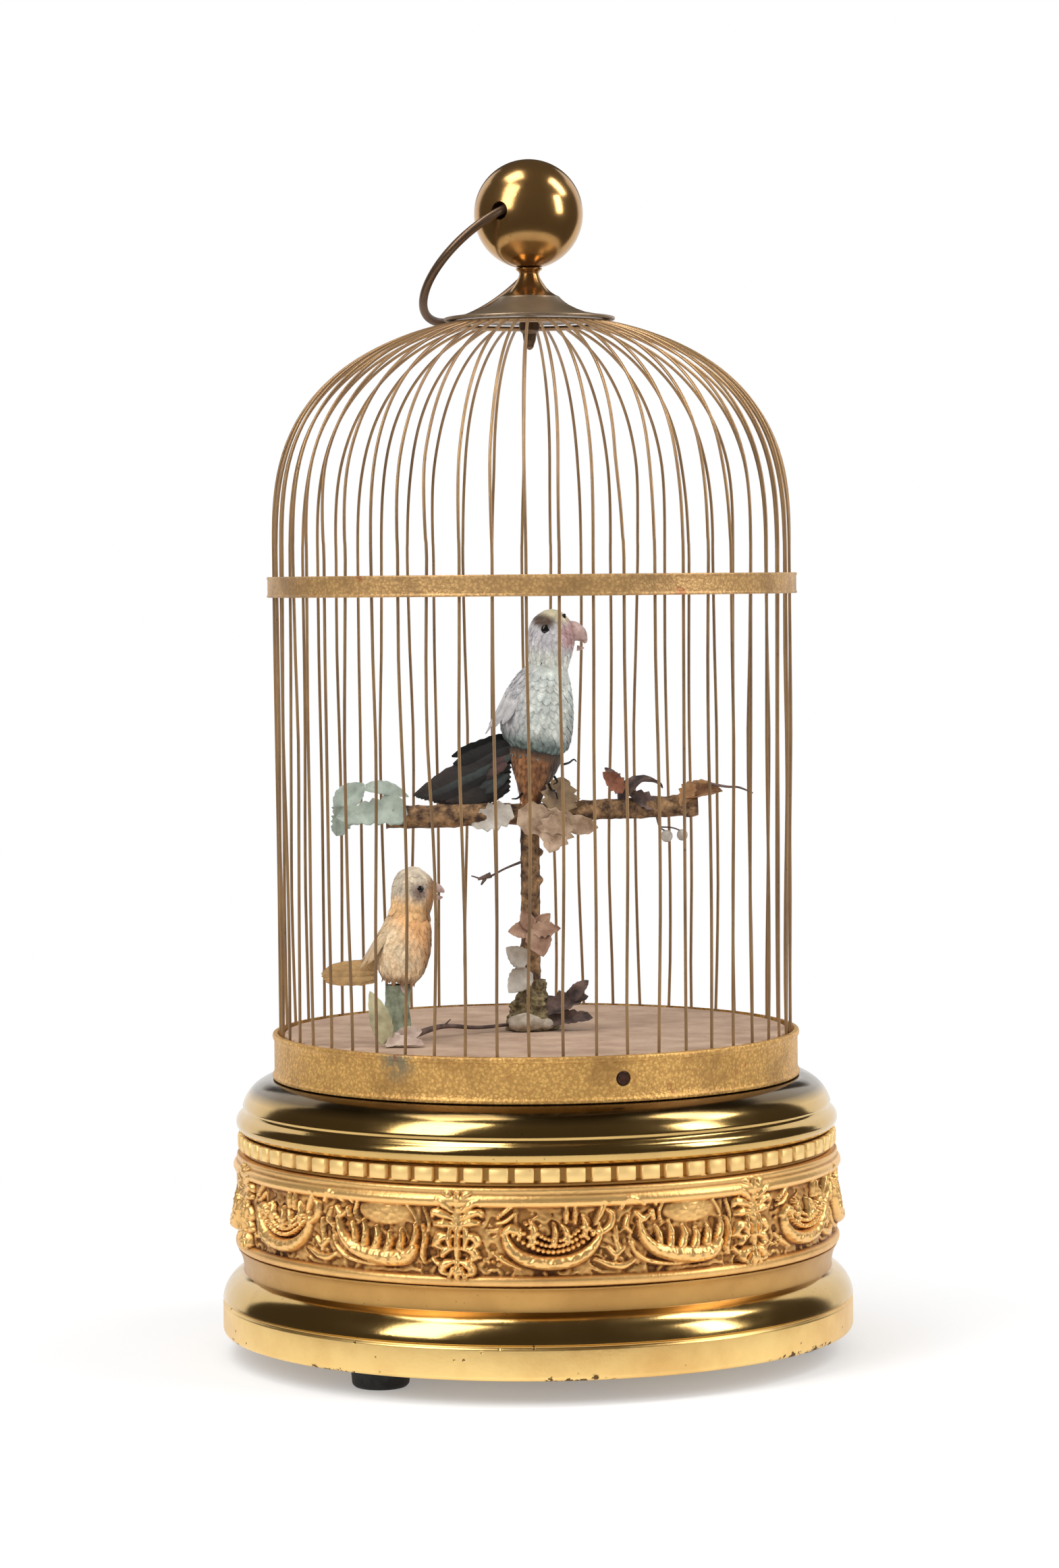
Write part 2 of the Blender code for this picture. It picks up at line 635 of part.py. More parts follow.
def build_cap():
    """Low cone on the crown ring, a step and a flared neck under the ball."""
    edge_top = CAP_BOTTOM + CAP_EDGE
    profile = [(0.0, CAP_BOTTOM), (CAP_RADIUS, CAP_BOTTOM), (CAP_RADIUS, edge_top)]
    profile += [((CAP_RADIUS + CAP_STEP_RADIUS) / 2, edge_top + CAP_CONE_RISE * 0.42)]
    profile += [(CAP_STEP_RADIUS, CAP_STEP), (CAP_STEP_RADIUS, CAP_STEP + 0.9 * MM)]
    flare = NECK_HEIGHT - 0.9 * MM
    for share, swell in ((0.10, 0.62), (0.26, 0.30), (0.50, 0.08)):
        radius = NECK_RADIUS + (CAP_STEP_RADIUS - NECK_RADIUS) * swell
        profile.append((radius, CAP_STEP + 0.9 * MM + flare * share))
    profile += [(NECK_RADIUS, NECK_TOP - 1.6 * MM), (NECK_RADIUS + 0.6 * MM, NECK_TOP), (0.0, NECK_TOP)]
    turned("cap_flange", profile, polished_gilt, sides=ROUND)
    low = CAP_BOTTOM - GAP
    nut = [(0.0, low), (2.5 * MM, low), (2.5 * MM, low - 2.4 * MM), (1.5 * MM, low - 4.4 * MM)]
    nut += [(0.9 * MM, low - 6.2 * MM), (0.0, low - 6.8 * MM)]
    turned("pendant_nut", nut, gilt, sides=PIN_ROUND)


def build_finial_ball():
    """Hollow ball, drilled right through for the ring."""
    outer = quarter_round((0.0, 0.0), BALL_RADIUS, -78.0, 78.0, 8)
    profile = [(0.0, -BALL_RADIUS)] + outer + [(0.0, BALL_RADIUS)]
    ball = turned("finial_ball", profile, polished_gilt, BALL_CENTRE, sides=ROUND)
    core_radius = BALL_RADIUS - BALL_WALL
    inner = quarter_round((0.0, 0.0), core_radius, -60.0, 60.0, 4)
    core = turned("finial_ball_core", [(0.0, -core_radius)] + inner + [(0.0, core_radius)], None,
                  BALL_CENTRE, sides=SMALL_ROUND)
    along = Vector((sin(RING_TURN), cos(RING_TURN), 0.0)) * (BALL_RADIUS + SHEET)
    drill_rod = tube("finial_ball_drill", [-along, along], [RING_HOLE] * 2, None,
                     sides=SMALL_ROUND, at=BALL_CENTRE)
    combine(ball, core, "DIFFERENCE")
    combine(ball, drill_rod, "DIFFERENCE")


def build_hanging_ring():
    """Wire ring through both holes of the ball, leaning on the cap's edge."""
    along = Vector((sin(RING_TURN), cos(RING_TURN), 0.0))
    level = Vector((-cos(RING_TURN), sin(RING_TURN), 0.0))
    down = level * cos(RING_DROOP) - Vector((0.0, 0.0, sin(RING_DROOP)))
    centre = down * sqrt(RING_RADIUS ** 2 - (BALL_RADIUS - BALL_WALL / 2) ** 2)
    normal = along.cross(down)
    bm = bmesh.new()
    rows = []
    steps = 30
    for i in range(steps):
        a = 2 * pi * i / steps
        out = along * cos(a) + down * sin(a)
        turn = [2 * pi * k / 6 for k in range(6)]
        middle = centre + out * RING_RADIUS
        rows.append([bm.verts.new(middle + RING_WIRE * (out * cos(t) + normal * sin(t))) for t in turn])
    for low, high in zip(rows, rows[1:] + rows[:1]):
        for i in range(6):
            j = (i + 1) % 6
            bm.faces.new((low[i], low[j], high[j], high[i]))
    add_object("hanging_ring", bm, lambda name: material(name, (0.20, 0.12, 0.06), 0.4, 1.0),
               BALL_CENTRE)


# Movement in the base


def pitch_radius(teeth):
    return MODULE * teeth / 2


def toward(start, angle, distance):
    return Vector((start[0] + distance * cos(angle), start[1] + distance * sin(angle)))


BARREL_AT = toward(CAM_ARBOR_AT, BARREL_DIRECTION, pitch_radius(GREAT_TEETH + SECOND_PINION))
THIRD_AT = toward(CAM_ARBOR_AT, THIRD_DIRECTION, pitch_radius(SECOND_TEETH + THIRD_PINION))
FLY_AT = toward(THIRD_AT, FLY_DIRECTION, pitch_radius(THIRD_TEETH + FLY_PINION))
STOP_PIVOT = FLY_AT + STOP_FROM_FLY
STOP_LEVER_REACH = RIM_RADIUS - STOP_TIP_INSET - STOP_PIVOT.length
STOP_PIN_AT = toward(STOP_PIVOT, STOP_REST_ANGLE, STOP_PIN_REACH)
STOP_SLOT_AT = toward(STOP_PIVOT, STOP_REST_ANGLE + STOP_SWING / 2, STOP_PIN_REACH)


def gear_outline(teeth, phase):
    """Outline of thin trapezoid teeth with backlash, one tooth centred on phase."""
    pitch = 2 * pi / teeth
    tip = pitch_radius(teeth) + 0.55 * MODULE
    root = pitch_radius(teeth) - 0.95 * MODULE
    points = []
    for i in range(teeth):
        middle = phase + i * pitch
        for radius, share in ((root, -0.25), (tip, -0.09), (tip, 0.09), (root, 0.25)):
            a = middle + share * pitch
            points.append((radius * cos(a), radius * sin(a)))
    return points


def wheel(name, teeth, next_direction, low, at, bore):
    """Driving wheel with a tooth pointing at the pinion that it drives."""
    outline = gear_outline(teeth, next_direction)
    return extruded(name, outline, low, low + WHEEL_THICKNESS, movement_brass,
                    holes=[circle(bore)], at=at)


def pinion_tool(name, teeth, last_direction, low, at):
    """Pinion with a tooth space that faces the wheel that drives it."""
    phase = last_direction + pi + pi / teeth
    return extruded(name, gear_outline(teeth, phase), low, low + PINION_LENGTH, None, at=at)


GREAT_LOW = LOWER_PLATE_TOP + 2.0 * MM + BARREL_HEIGHT + GAP
SECOND_LOW = GREAT_LOW + 3.6 * MM
THIRD_LOW = SECOND_LOW + 3.0 * MM


def arbor_profile(radius, top=None):
    """Shaft between the plates with thin pivots in their holes."""
    low = LOWER_PLATE_TOP + GAP
    high = UPPER_PLATE_BOTTOM - GAP
    profile = [(0.0, low - 1.5 * MM), (PIVOT_RADIUS, low - 1.5 * MM), (PIVOT_RADIUS, low)]
    profile += [(radius, low)]
    if top is None:
        profile += [(radius, high), (PIVOT_RADIUS, high), (PIVOT_RADIUS, high + 1.5 * MM)]
        return profile + [(0.0, high + 1.5 * MM)]
    return profile + [(radius, top), (0.0, top)]


def build_plates():
    """Two round plates. The pillars are riveted to the lower one, the lever posts to the upper."""
    pivot = PIVOT_RADIUS + GAP
    rim = circle(PLATE_RADIUS, sides=BIG_ROUND)
    lower_holes = [circle(WINDING_ARBOR_RADIUS + GAP + 0.1 * MM, BARREL_AT), circle(2.7 * MM, STOP_SLOT_AT)]
    lower_holes += [circle(pivot, at) for at in (CAM_ARBOR_AT, THIRD_AT, FLY_AT)]
    lower = extruded("movement_plate_lower", rim, LOWER_PLATE_BOTTOM, LOWER_PLATE_TOP,
                     movement_brass, holes=lower_holes)
    for i, degrees_round in enumerate(PILLAR_ANGLES):
        centre = toward((0.0, 0.0), radians(degrees_round), PILLAR_CIRCLE)
        pillar = extruded(f"pillar_{i + 1}", circle(PILLAR_RADIUS, centre),
                          LOWER_PLATE_TOP - 0.5 * MM, UPPER_PLATE_BOTTOM - GAP, None)
        combine(lower, pillar, "UNION")
    upper_holes = [circle(pivot, at) for at in (BARREL_AT, THIRD_AT, FLY_AT)]
    upper_holes += [circle(ARBOR_RADIUS + GAP, CAM_ARBOR_AT)]
    upper = extruded("movement_plate_upper", rim, UPPER_PLATE_BOTTOM, UPPER_PLATE_TOP,
                     movement_brass, holes=upper_holes)
    for name, target, level, pivot_height in LEVERS:
        add_lever_post(upper, name, target, pivot_height)


def build_winding():
    """Arbor with the collar that carries the barrel, and the butterfly key on its lower end."""
    radius = WINDING_ARBOR_RADIUS
    seat = LOWER_PLATE_TOP + GAP
    end = COVER_BOTTOM - 2.2 * MM
    high = UPPER_PLATE_BOTTOM - GAP
    profile = [(0.0, end), (radius, end), (radius, seat), (radius + 1.2 * MM, seat)]
    profile += [(radius + 1.2 * MM, seat + 1.4 * MM), (radius, seat + 1.4 * MM), (radius, high)]
    profile += [(PIVOT_RADIUS, high), (PIVOT_RADIUS, high + 1.5 * MM), (0.0, high + 1.5 * MM)]
    turned("winding_arbor", profile, steel, (*BARREL_AT, 0.0), sides=PIN_ROUND)
    top = end - GAP
    half = KEY_SPAN / 2
    low = top - KEY_HEIGHT
    wings = [(-half, low + 1.2 * MM), (-half + 2.0 * MM, low), (-half * 0.45, low + 0.6 * MM)]
    wings += [(half * 0.45, low + 0.6 * MM), (half - 2.0 * MM, low), (half, low + 1.2 * MM)]
    wings += [(half, top - 1.8 * MM), (half - 2.0 * MM, top - 0.6 * MM), (half * 0.4, top - 2.0 * MM)]
    wings += [(-half * 0.4, top - 2.0 * MM), (-half + 2.0 * MM, top - 0.6 * MM), (-half, top - 1.8 * MM)]
    rings = [[(x, y, z) for x, z in wings] for y in (-KEY_THICKNESS / 2, KEY_THICKNESS / 2)]
    key = lofted("winding_key", rings, movement_brass, (*BARREL_AT, 0.0))
    hub = extruded("winding_key_hub", circle(KEY_HUB), low + 0.9 * MM, top, None, at=BARREL_AT)
    combine(key, hub, "UNION")


def build_barrel():
    """Open drum with the mainspring in it. The great wheel is its lid."""
    low = LOWER_PLATE_TOP + 2.0 * MM
    high = low + BARREL_HEIGHT
    bore = WINDING_ARBOR_RADIUS + GAP + 0.1 * MM
    inner = BARREL_RADIUS - SHEET
    profile = [(bore, low), (BARREL_RADIUS, low), (BARREL_RADIUS, high), (inner, high)]
    profile += [(inner, low + SHEET), (bore + 1.2 * MM, low + SHEET), (bore + 1.2 * MM, low + 3.0 * MM)]
    profile += [(bore, low + 3.0 * MM)]
    turned("mainspring_barrel", profile, movement_brass, (*BARREL_AT, 0.0), sides=ROUND)
    direction = atan2(CAM_ARBOR_AT[1] - BARREL_AT[1], CAM_ARBOR_AT[0] - BARREL_AT[0])
    wheel("great_wheel", GREAT_TEETH, direction, GREAT_LOW, BARREL_AT, bore)
    build_mainspring(low + SHEET + GAP, high - GAP, bore + 1.2 * MM + GAP, inner - GAP)


def build_mainspring(low, high, start, end):
    """Steel strip wound from the arbor out to the barrel's wall."""
    steps = int(SPRING_TURNS * PIN_ROUND)
    rings = []
    for i in range(steps + 1):
        a = SPRING_TURNS * 2 * pi * i / steps
        inner = start + (end - start - SPRING_STRIP) * i / steps
        edges = ((inner, low), (inner + SPRING_STRIP, low), (inner + SPRING_STRIP, high), (inner, high))
        rings.append([(radius * cos(a), radius * sin(a), height) for radius, height in edges])
    lofted("mainspring", rings, steel, (*BARREL_AT, 0.0))


def build_train():
    """Second arbor with the cams, third wheel, and the fly that keeps the speed."""
    to_cam = atan2(CAM_ARBOR_AT[1] - BARREL_AT[1], CAM_ARBOR_AT[0] - BARREL_AT[0])
    low = CAM_LEVELS[0]
    rings = []
    heights = [(LOWER_PLATE_TOP + GAP, None), (low, None)]
    for i, level in enumerate(CAM_LEVELS):
        heights += [(level, i), (level + CAM_THICKNESS, i), (level + CAM_THICKNESS, None)]
        if i + 1 < len(CAM_LEVELS):
            heights += [(CAM_LEVELS[i + 1], None)]
    for height, cam in heights:
        ring = []
        for k in range(ROUND):
            a = 2 * pi * k / ROUND
            reach = ARBOR_RADIUS if cam is None else cam_reach(cam, a)
            ring.append((reach * cos(a), reach * sin(a), height))
        rings.append(ring)
    arbor = lofted("cam_arbor", rings, steel, (*CAM_ARBOR_AT, 0.0))
    foot = extruded("cam_arbor_pivot", circle(PIVOT_RADIUS), LOWER_PLATE_TOP - 1.2 * MM,
                    LOWER_PLATE_TOP + SHEET, None, at=CAM_ARBOR_AT)
    leaves = pinion_tool("cam_arbor_pinion", SECOND_PINION, to_cam, GREAT_LOW - 0.8 * MM, CAM_ARBOR_AT)
    combine(arbor, foot, "UNION")
    combine(arbor, leaves, "UNION")
    wheel("second_wheel", SECOND_TEETH, THIRD_DIRECTION, SECOND_LOW, CAM_ARBOR_AT, ARBOR_RADIUS + GAP)
    third = wheel("third_wheel", THIRD_TEETH, FLY_DIRECTION, THIRD_LOW, THIRD_AT, ARBOR_RADIUS - 0.1 * MM)
    shaft = turned("third_shaft", arbor_profile(ARBOR_RADIUS), None, (*THIRD_AT, 0.0), sides=PIN_ROUND)
    third_leaves = pinion_tool("third_pinion", THIRD_PINION, THIRD_DIRECTION, SECOND_LOW - 0.8 * MM, THIRD_AT)
    combine(third, shaft, "UNION")
    combine(third, third_leaves, "UNION")
    build_fly()


def build_fly():
    """Four-vaned air brake on the fastest arbor."""
    half = VANE_THICKNESS / 2
    hub = 1.8 * MM
    outline = []
    for k in range(4):
        a = k * pi / 2
        for x, y in ((hub, -half), (FLY_RADIUS, -half), (FLY_RADIUS, half), (hub, half)):
            outline.append((x * cos(a) - y * sin(a), x * sin(a) + y * cos(a)))
    low = LOWER_PLATE_TOP + 2.0 * MM
    fly = extruded("governor_fly", outline, low, low + FLY_HEIGHT, movement_brass, at=FLY_AT)
    shaft = turned("fly_shaft", arbor_profile(ARBOR_RADIUS), None, (*FLY_AT, 0.0), sides=PIN_ROUND)
    leaves = pinion_tool("fly_pinion", FLY_PINION, FLY_DIRECTION, THIRD_LOW - 0.8 * MM, FLY_AT)
    combine(fly, shaft, "UNION")
    combine(fly, leaves, "UNION")


# Cams and levers, from the lowest cam up: pump, upper song, lower song

CAM_LEVELS = [UPPER_PLATE_TOP + 2.0 * MM + i * CAM_SPACING for i in range(3)]
BOARD_TOP = UPPER_PLATE_TOP + 2 * (GAP + BOARD_THICKNESS) + GAP + LEATHER_HEIGHT
PUMP_TAB_AT = Vector((BELLOWS_AT[0], BELLOWS_AT[1] - BELLOWS_WIDTH / 2 - 3.0 * MM))
PUMP_PIVOT = BOARD_TOP - BOARD_THICKNESS - GAP - LEVER_DEPTH / 2
LEVERS = (
    ("pump_lever", PUMP_TAB_AT, 0, PUMP_PIVOT),
    ("upper_song_lever", POST_AT, 1, SONG_PIVOT),
    ("lower_song_lever", STEM_AT, 2, SONG_PIVOT),
)
CAM_FACE = CAM_RADIUS + GAP


def cam_reach(cam, angle):
    """Radius of a cam at an angle: an eccentric for the pump, waves for the songs."""
    if cam == 0:
        return CAM_RADIUS - PUMP_THROW * (1 - cos(angle))
    waves = 3 + cam
    return CAM_RADIUS - CAM_RISE * (0.5 - 0.5 * cos(waves * angle))


def lever_place(target):
    """Direction from the cam arbor to a rod, and the distance between them."""
    away = target - CAM_ARBOR_AT
    return atan2(away[1], away[0]), away.length


def pivot_distance():
    return CAM_FACE + LEVER_OFFSET


def build_levers():
    """Bell cranks: a cam pushes the upright arm outwards and the long arm lifts its rod."""
    for name, target, cam, height in LEVERS:
        direction, reach = lever_place(target)
        pivot = pivot_distance()
        level = CAM_LEVELS[cam] - height
        side = CAM_FACE - pivot
        half = LEVER_DEPTH / 2
        outline = [(side, level), (side + 1.8 * MM, level), (side + 1.8 * MM, -LEVER_HUB)]
        outline += [(LEVER_HUB, -LEVER_HUB), (LEVER_HUB + SHEET, -half), (reach - pivot + 1.5 * MM, -half)]
        outline += [(reach - pivot + 1.5 * MM, half), (LEVER_HUB + SHEET, half), (LEVER_HUB, LEVER_HUB)]
        outline += [(side, LEVER_HUB)]
        hole = circle(LEVER_PIN + GAP)
        lever = extruded(name, outline, -LEVER_THICKNESS / 2, LEVER_THICKNESS / 2, steel, holes=[hole])
        spot = toward(CAM_ARBOR_AT, direction, pivot)
        upright = Matrix.Rotation(direction, 4, "Z") @ Matrix.Rotation(pi / 2, 4, "X")
        lever.matrix_world = Matrix.Translation((spot[0], spot[1], height)) @ upright


def add_lever_post(plate, name, target, height):
    """Post riveted to the upper plate, with the pin that the lever turns on."""
    direction, _ = lever_place(target)
    spot = toward(CAM_ARBOR_AT, direction, pivot_distance())
    place = Matrix.Translation((spot[0], spot[1], 0.0)) @ Matrix.Rotation(direction, 4, "Z")
    face = LEVER_THICKNESS / 2 + GAP
    low = (-1.6 * MM, face, UPPER_PLATE_TOP - 0.6 * MM)
    post = box(name + "_post", low, (1.6 * MM, face + 1.8 * MM, height + 1.8 * MM), None)
    post.matrix_world = place
    pin = tube(name + "_pin", [(0.0, face + SHEET, height), (0.0, -face - 0.8 * MM, height)],
               [LEVER_PIN] * 2, None)
    pin.matrix_world = place
    combine(plate, post, "UNION")
    combine(plate, pin, "UNION")


def build_stop_lever():
    """Start and stop lever under the cover, with the pin that brakes the fly."""
    top = COVER_BOTTOM - GAP
    low = top - 1.5 * MM
    tail = STOP_PIN_REACH + 1.6 * MM
    tip = STOP_LEVER_REACH
    along = STOP_REST_ANGLE
    outline = [(-tip, -3.0 * MM), (-tip + 6.0 * MM, -3.0 * MM), (-tip + 7.5 * MM, -1.6 * MM)]
    outline += [(0.0, -2.6 * MM), (tail, -1.4 * MM), (tail, 1.4 * MM), (0.0, 2.6 * MM)]
    outline += [(-tip + 7.5 * MM, 1.6 * MM), (-tip + 6.0 * MM, 3.0 * MM), (-tip, 3.0 * MM)]
    turned_outline = [(x * cos(along) - y * sin(along), x * sin(along) + y * cos(along)) for x, y in outline]
    lever = extruded("stop_lever", turned_outline, low, top, steel, holes=[circle(ARBOR_RADIUS + GAP)],
                     at=STOP_PIVOT)
    pin = extruded("stop_lever_pin", circle(0.7 * MM), low + 0.5 * MM, top + STOP_PIN_HEIGHT, None,
                   at=STOP_PIN_AT)
    tab = box("stop_lever_tab", (STOP_PIVOT[0] + 1.5 * MM, STOP_PIVOT[1] - tip + 0.8 * MM, low - 3.0 * MM),
              (STOP_PIVOT[0] + 5.5 * MM, STOP_PIVOT[1] - tip + 2.4 * MM, low + 0.5 * MM), None)
    combine(lever, pin, "UNION")
    combine(lever, tab, "UNION")


def rectangle(centre, length, width, height, inset=0.0):
    x, y = length / 2 - inset, width / 2 - inset
    corners = ((-x, -y), (x, -y), (x, y), (-x, y))
    return [(centre[0] + dx, centre[1] + dy, height) for dx, dy in corners]


def build_bellows():
    """Fixed lower board, folded leather, and the board that the pump lever lifts."""
    low = UPPER_PLATE_TOP + GAP
    wood = lambda name: material(name, (0.45, 0.28, 0.14), 0.6, 0.0)
    hide = lambda name: material(name, (0.55, 0.36, 0.22), 0.75, 0.0)
    levels = (low, low + BOARD_THICKNESS)
    lofted("bellows_board_lower",
           [rectangle(BELLOWS_AT, BELLOWS_LENGTH, BELLOWS_WIDTH, z) for z in levels], wood)
    skin = low + BOARD_THICKNESS + GAP
    folds = [(skin, 0.5), (skin + LEATHER_HEIGHT * 0.25, 0.0), (skin + LEATHER_HEIGHT * 0.5, 2.0)]
    folds += [(skin + LEATHER_HEIGHT * 0.75, 0.0), (skin + LEATHER_HEIGHT, 0.5)]
    lofted("bellows_leather",
           [rectangle(BELLOWS_AT, BELLOWS_LENGTH, BELLOWS_WIDTH, z, inset * MM) for z, inset in folds], hide)
    levels = (BOARD_TOP - BOARD_THICKNESS, BOARD_TOP)
    board = lofted("bellows_board_upper",
                   [rectangle(BELLOWS_AT, BELLOWS_LENGTH, BELLOWS_WIDTH, z) for z in levels], wood)
    tab_low = (PUMP_TAB_AT[0] - 2.5 * MM, PUMP_TAB_AT[1] - 2.0 * MM, levels[0])
    tab_high = (PUMP_TAB_AT[0] + 2.5 * MM, BELLOWS_AT[1], levels[1] - 0.4 * MM)
    combine(board, box("bellows_tab", tab_low, tab_high, None), "UNION")


def build_whistle():
    """Square whistle body bored from end to end, and the piston that slides in it."""
    middle = UPPER_PLATE_TOP + GAP + WHISTLE_SIDE / 2
    half = WHISTLE_SIDE / 2
    square = [(-half, -half), (half, -half), (half, half), (-half, half)]
    lie = Matrix.Translation((WHISTLE_AT[0], WHISTLE_AT[1], middle)) @ Matrix.Rotation(pi / 2, 4, "Y")
    body = extruded("whistle_body", square, -WHISTLE_LENGTH / 2, WHISTLE_LENGTH / 2, movement_brass,
                    holes=[circle(WHISTLE_BORE, sides=SMALL_ROUND)])
    body.matrix_world = lie
    piston_radius = WHISTLE_BORE * cos(pi / SMALL_ROUND) - GAP
    start = WHISTLE_LENGTH * 0.1
    rod = 0.7 * MM
    profile = [(0.0, start), (piston_radius, start), (piston_radius, start + PISTON_LENGTH)]
    profile += [(rod, start + PISTON_LENGTH), (rod, WHISTLE_LENGTH / 2 + 8.0 * MM)]
    profile += [(0.0, WHISTLE_LENGTH / 2 + 8.0 * MM)]
    piston = turned("whistle_piston", profile, steel, sides=SMALL_ROUND)
    piston.matrix_world = lie


# Posts, rods and branches


def hollow_rod(name, at, outer, bore, low, high, surface, sides=SMALL_ROUND):
    profile = [(bore, low), (outer, low), (outer, high), (bore, high)]
    return turned(name, profile, surface, (at[0], at[1], 0.0), sides=sides)


def build_rods(prefix, at, top):
    """Song rod inside a turning tube, from the levers up to a bird."""
    rod_low = SONG_PIVOT + LEVER_DEPTH / 2 + GAP
    tube_low = SONG_PIVOT + LEVER_HUB + 2.6 * MM
    rod_top = top - GAP - SONG_STROKE
    rod = [(0.0, rod_low), (SONG_ROD_RADIUS, rod_low), (SONG_ROD_RADIUS, rod_top), (0.0, rod_top)]
    turned(f"{prefix}_song_rod", rod, steel, (at[0], at[1], 0.0), sides=8)
    sleeve = hollow_rod(f"{prefix}_turn_tube", at, TURN_TUBE_RADIUS, TURN_TUBE_BORE, tube_low,
                        top - GAP, steel, sides=SMALL_ROUND)
    arm = [(TURN_TUBE_BORE + 0.15 * MM, -1.1 * MM), (6.0 * MM, -0.8 * MM), (6.0 * MM, 0.8 * MM)]
    arm += [(TURN_TUBE_BORE + 0.15 * MM, 1.1 * MM)]
    crank = extruded(f"{prefix}_turn_arm", arm, tube_low + 0.4 * MM, tube_low + 1.8 * MM, None, at=at)
    combine(sleeve, crank, "UNION")


def build_post():
    """Wrapped post with a mossy mound at its foot, and the cross branch in two halves."""
    foot = FLOOR_TOP + GAP
    hollow_rod("center_post", POST_AT, POST_RADIUS, POST_BORE, foot, POST_TOP, bark)
    bore = POST_RADIUS + GAP
    mound = [(bore, foot), (5.0 * MM, foot), (4.6 * MM, foot + 2.4 * MM), (3.4 * MM, foot + 4.4 * MM)]
    mound += [(bore, foot + 5.2 * MM)]
    turned("post_mound", mound, lambda name: leaf_cloth(name, (0.33, 0.27, 0.11)),
           (POST_AT[0], POST_AT[1], 0.0), sides=SMALL_ROUND)
    build_branch("branch_left", -1.0, LEFT_BRANCH_LENGTH, LEFT_BRANCH_RADIUS, -0.4 * MM)
    build_branch("branch_right", 1.0, RIGHT_BRANCH_LENGTH, RIGHT_BRANCH_RADIUS, 1.2 * MM)


def build_branch(name, side, length, radius, rise):
    height = POST_TOP - BRANCH_BELOW_TOP
    points = []
    radii = []
    steps = 6
    for i in range(steps + 1):
        share = i / steps
        out = POST_RADIUS + GAP + share * length
        points.append((POST_AT[0] + side * out, POST_AT[1], height + rise * share))
        radii.append(radius * (1.0 + 0.12 * sin(share * 9.0) - 0.12 * share))
    radii[0] = radius * 0.8
    radii[-1] = radius * 0.75
    tube(name, points, radii, bark)


def leaf(name, start, along, length, width, colour, droop, tilt=0.0):
    """Curved fabric leaf: a thin strip that widens, bends and comes to a point."""
    thick = 0.35 * MM
    steps = 4
    forward = Vector(along).normalized()
    across = forward.cross(Vector((0.0, -sin(tilt), cos(tilt)))).normalized()
    up = across.cross(forward)
    rings = []
    for i in range(steps + 1):
        share = i / steps
        half = width / 2 * (0.16 + 0.84 * sin(pi * min(share * 0.86 + 0.07, 1.0)))
        middle = Vector(start) + forward * (length * share) + up * (droop * share * share)
        cup = up * (half * 0.35)
        left, right = middle - across * half + cup, middle + across * half + cup
        rings.append([left, middle, right, right + up * thick, middle + up * thick, left + up * thick])
    lofted(name, rings, lambda label: leaf_cloth(label, colour))


def build_leaves():
    """The larger leaves: at the branch, on the right end, on the floor and at the stem."""
    branch = POST_TOP - BRANCH_BELOW_TOP
    left_end = POST_AT[0] - POST_RADIUS - GAP - LEFT_BRANCH_LENGTH
    right_end = POST_AT[0] + POST_RADIUS + GAP + RIGHT_BRANCH_LENGTH
    leaf("leaf_left_end", (left_end + 6.0 * MM, POST_AT[1] - LEFT_BRANCH_RADIUS + 2 * GAP, branch + 2.6 * MM),
         (-1.0, -0.1, -0.25), 17.0 * MM, 11.0 * MM, (0.42, 0.45, 0.36), -3.0 * MM, 1.2)
    leaf("leaf_drooping", (POST_AT[0] + 8.6 * MM, POST_AT[1] - RIGHT_BRANCH_RADIUS, branch + 7.0 * MM),
         (0.1, -0.12, -1.0), 17.0 * MM, 13.0 * MM, (0.36, 0.23, 0.13), -1.5 * MM, 1.57)
    leaf("leaf_right_end", (right_end - 4.0 * MM, POST_AT[1], branch + RIGHT_BRANCH_RADIUS + 4 * GAP),
         (1.0, 0.0, 0.28), 8.5 * MM, 5.0 * MM, (0.35, 0.22, 0.12), 1.0 * MM)
    leaf("leaf_floor", (POST_AT[0] + 6.0 * MM, 0.0, FLOOR_TOP + GAP),
         (1.0, 0.1, 0.35), 11.0 * MM, 7.0 * MM, (0.10, 0.06, 0.05), 1.5 * MM)
    leaf("leaf_front", (STEM_AT[0] - 2.0 * MM, STEM_AT[1] - STEM_RADIUS - 5.0 * MM, FLOOR_TOP + GAP),
         (-0.15, -0.25, 1.0), 12.5 * MM, 9.0 * MM, (0.45, 0.42, 0.20), 2.0 * MM, 1.57)


# Birds


def soft_form(name, stations, surface, parent, unit, sides=12):
    """Swelling body along the local Z axis. A station is (height, radius, shift forward) in units."""
    rings = []
    for height, radius, shift in stations:
        turn = [2 * pi * k / sides for k in range(sides)]
        rings.append([((shift + radius * cos(a)) * unit, radius * unit * sin(a), height * unit)
                      for a in turn])
    return lofted(name, rings, surface, parent=parent)


def bird_frame(name, at, height, lean):
    """Empty at the bird's foot, leaning towards its beak, which every piece hangs from."""
    frame = bpy.data.objects.new(name, None)
    frame.location = (at[0], at[1], height)
    frame.rotation_euler = (0.0, lean, 0.0)
    bpy.context.scene.collection.objects.link(frame)
    return frame


def add_bore(piece, low, high):
    """Bore for the neck's shaft, down the bird's own axis."""
    bore = extruded(piece.name + "_bore", circle(POST_BORE), low, high, None, parent=piece.parent)
    combine(piece, bore, "DIFFERENCE")


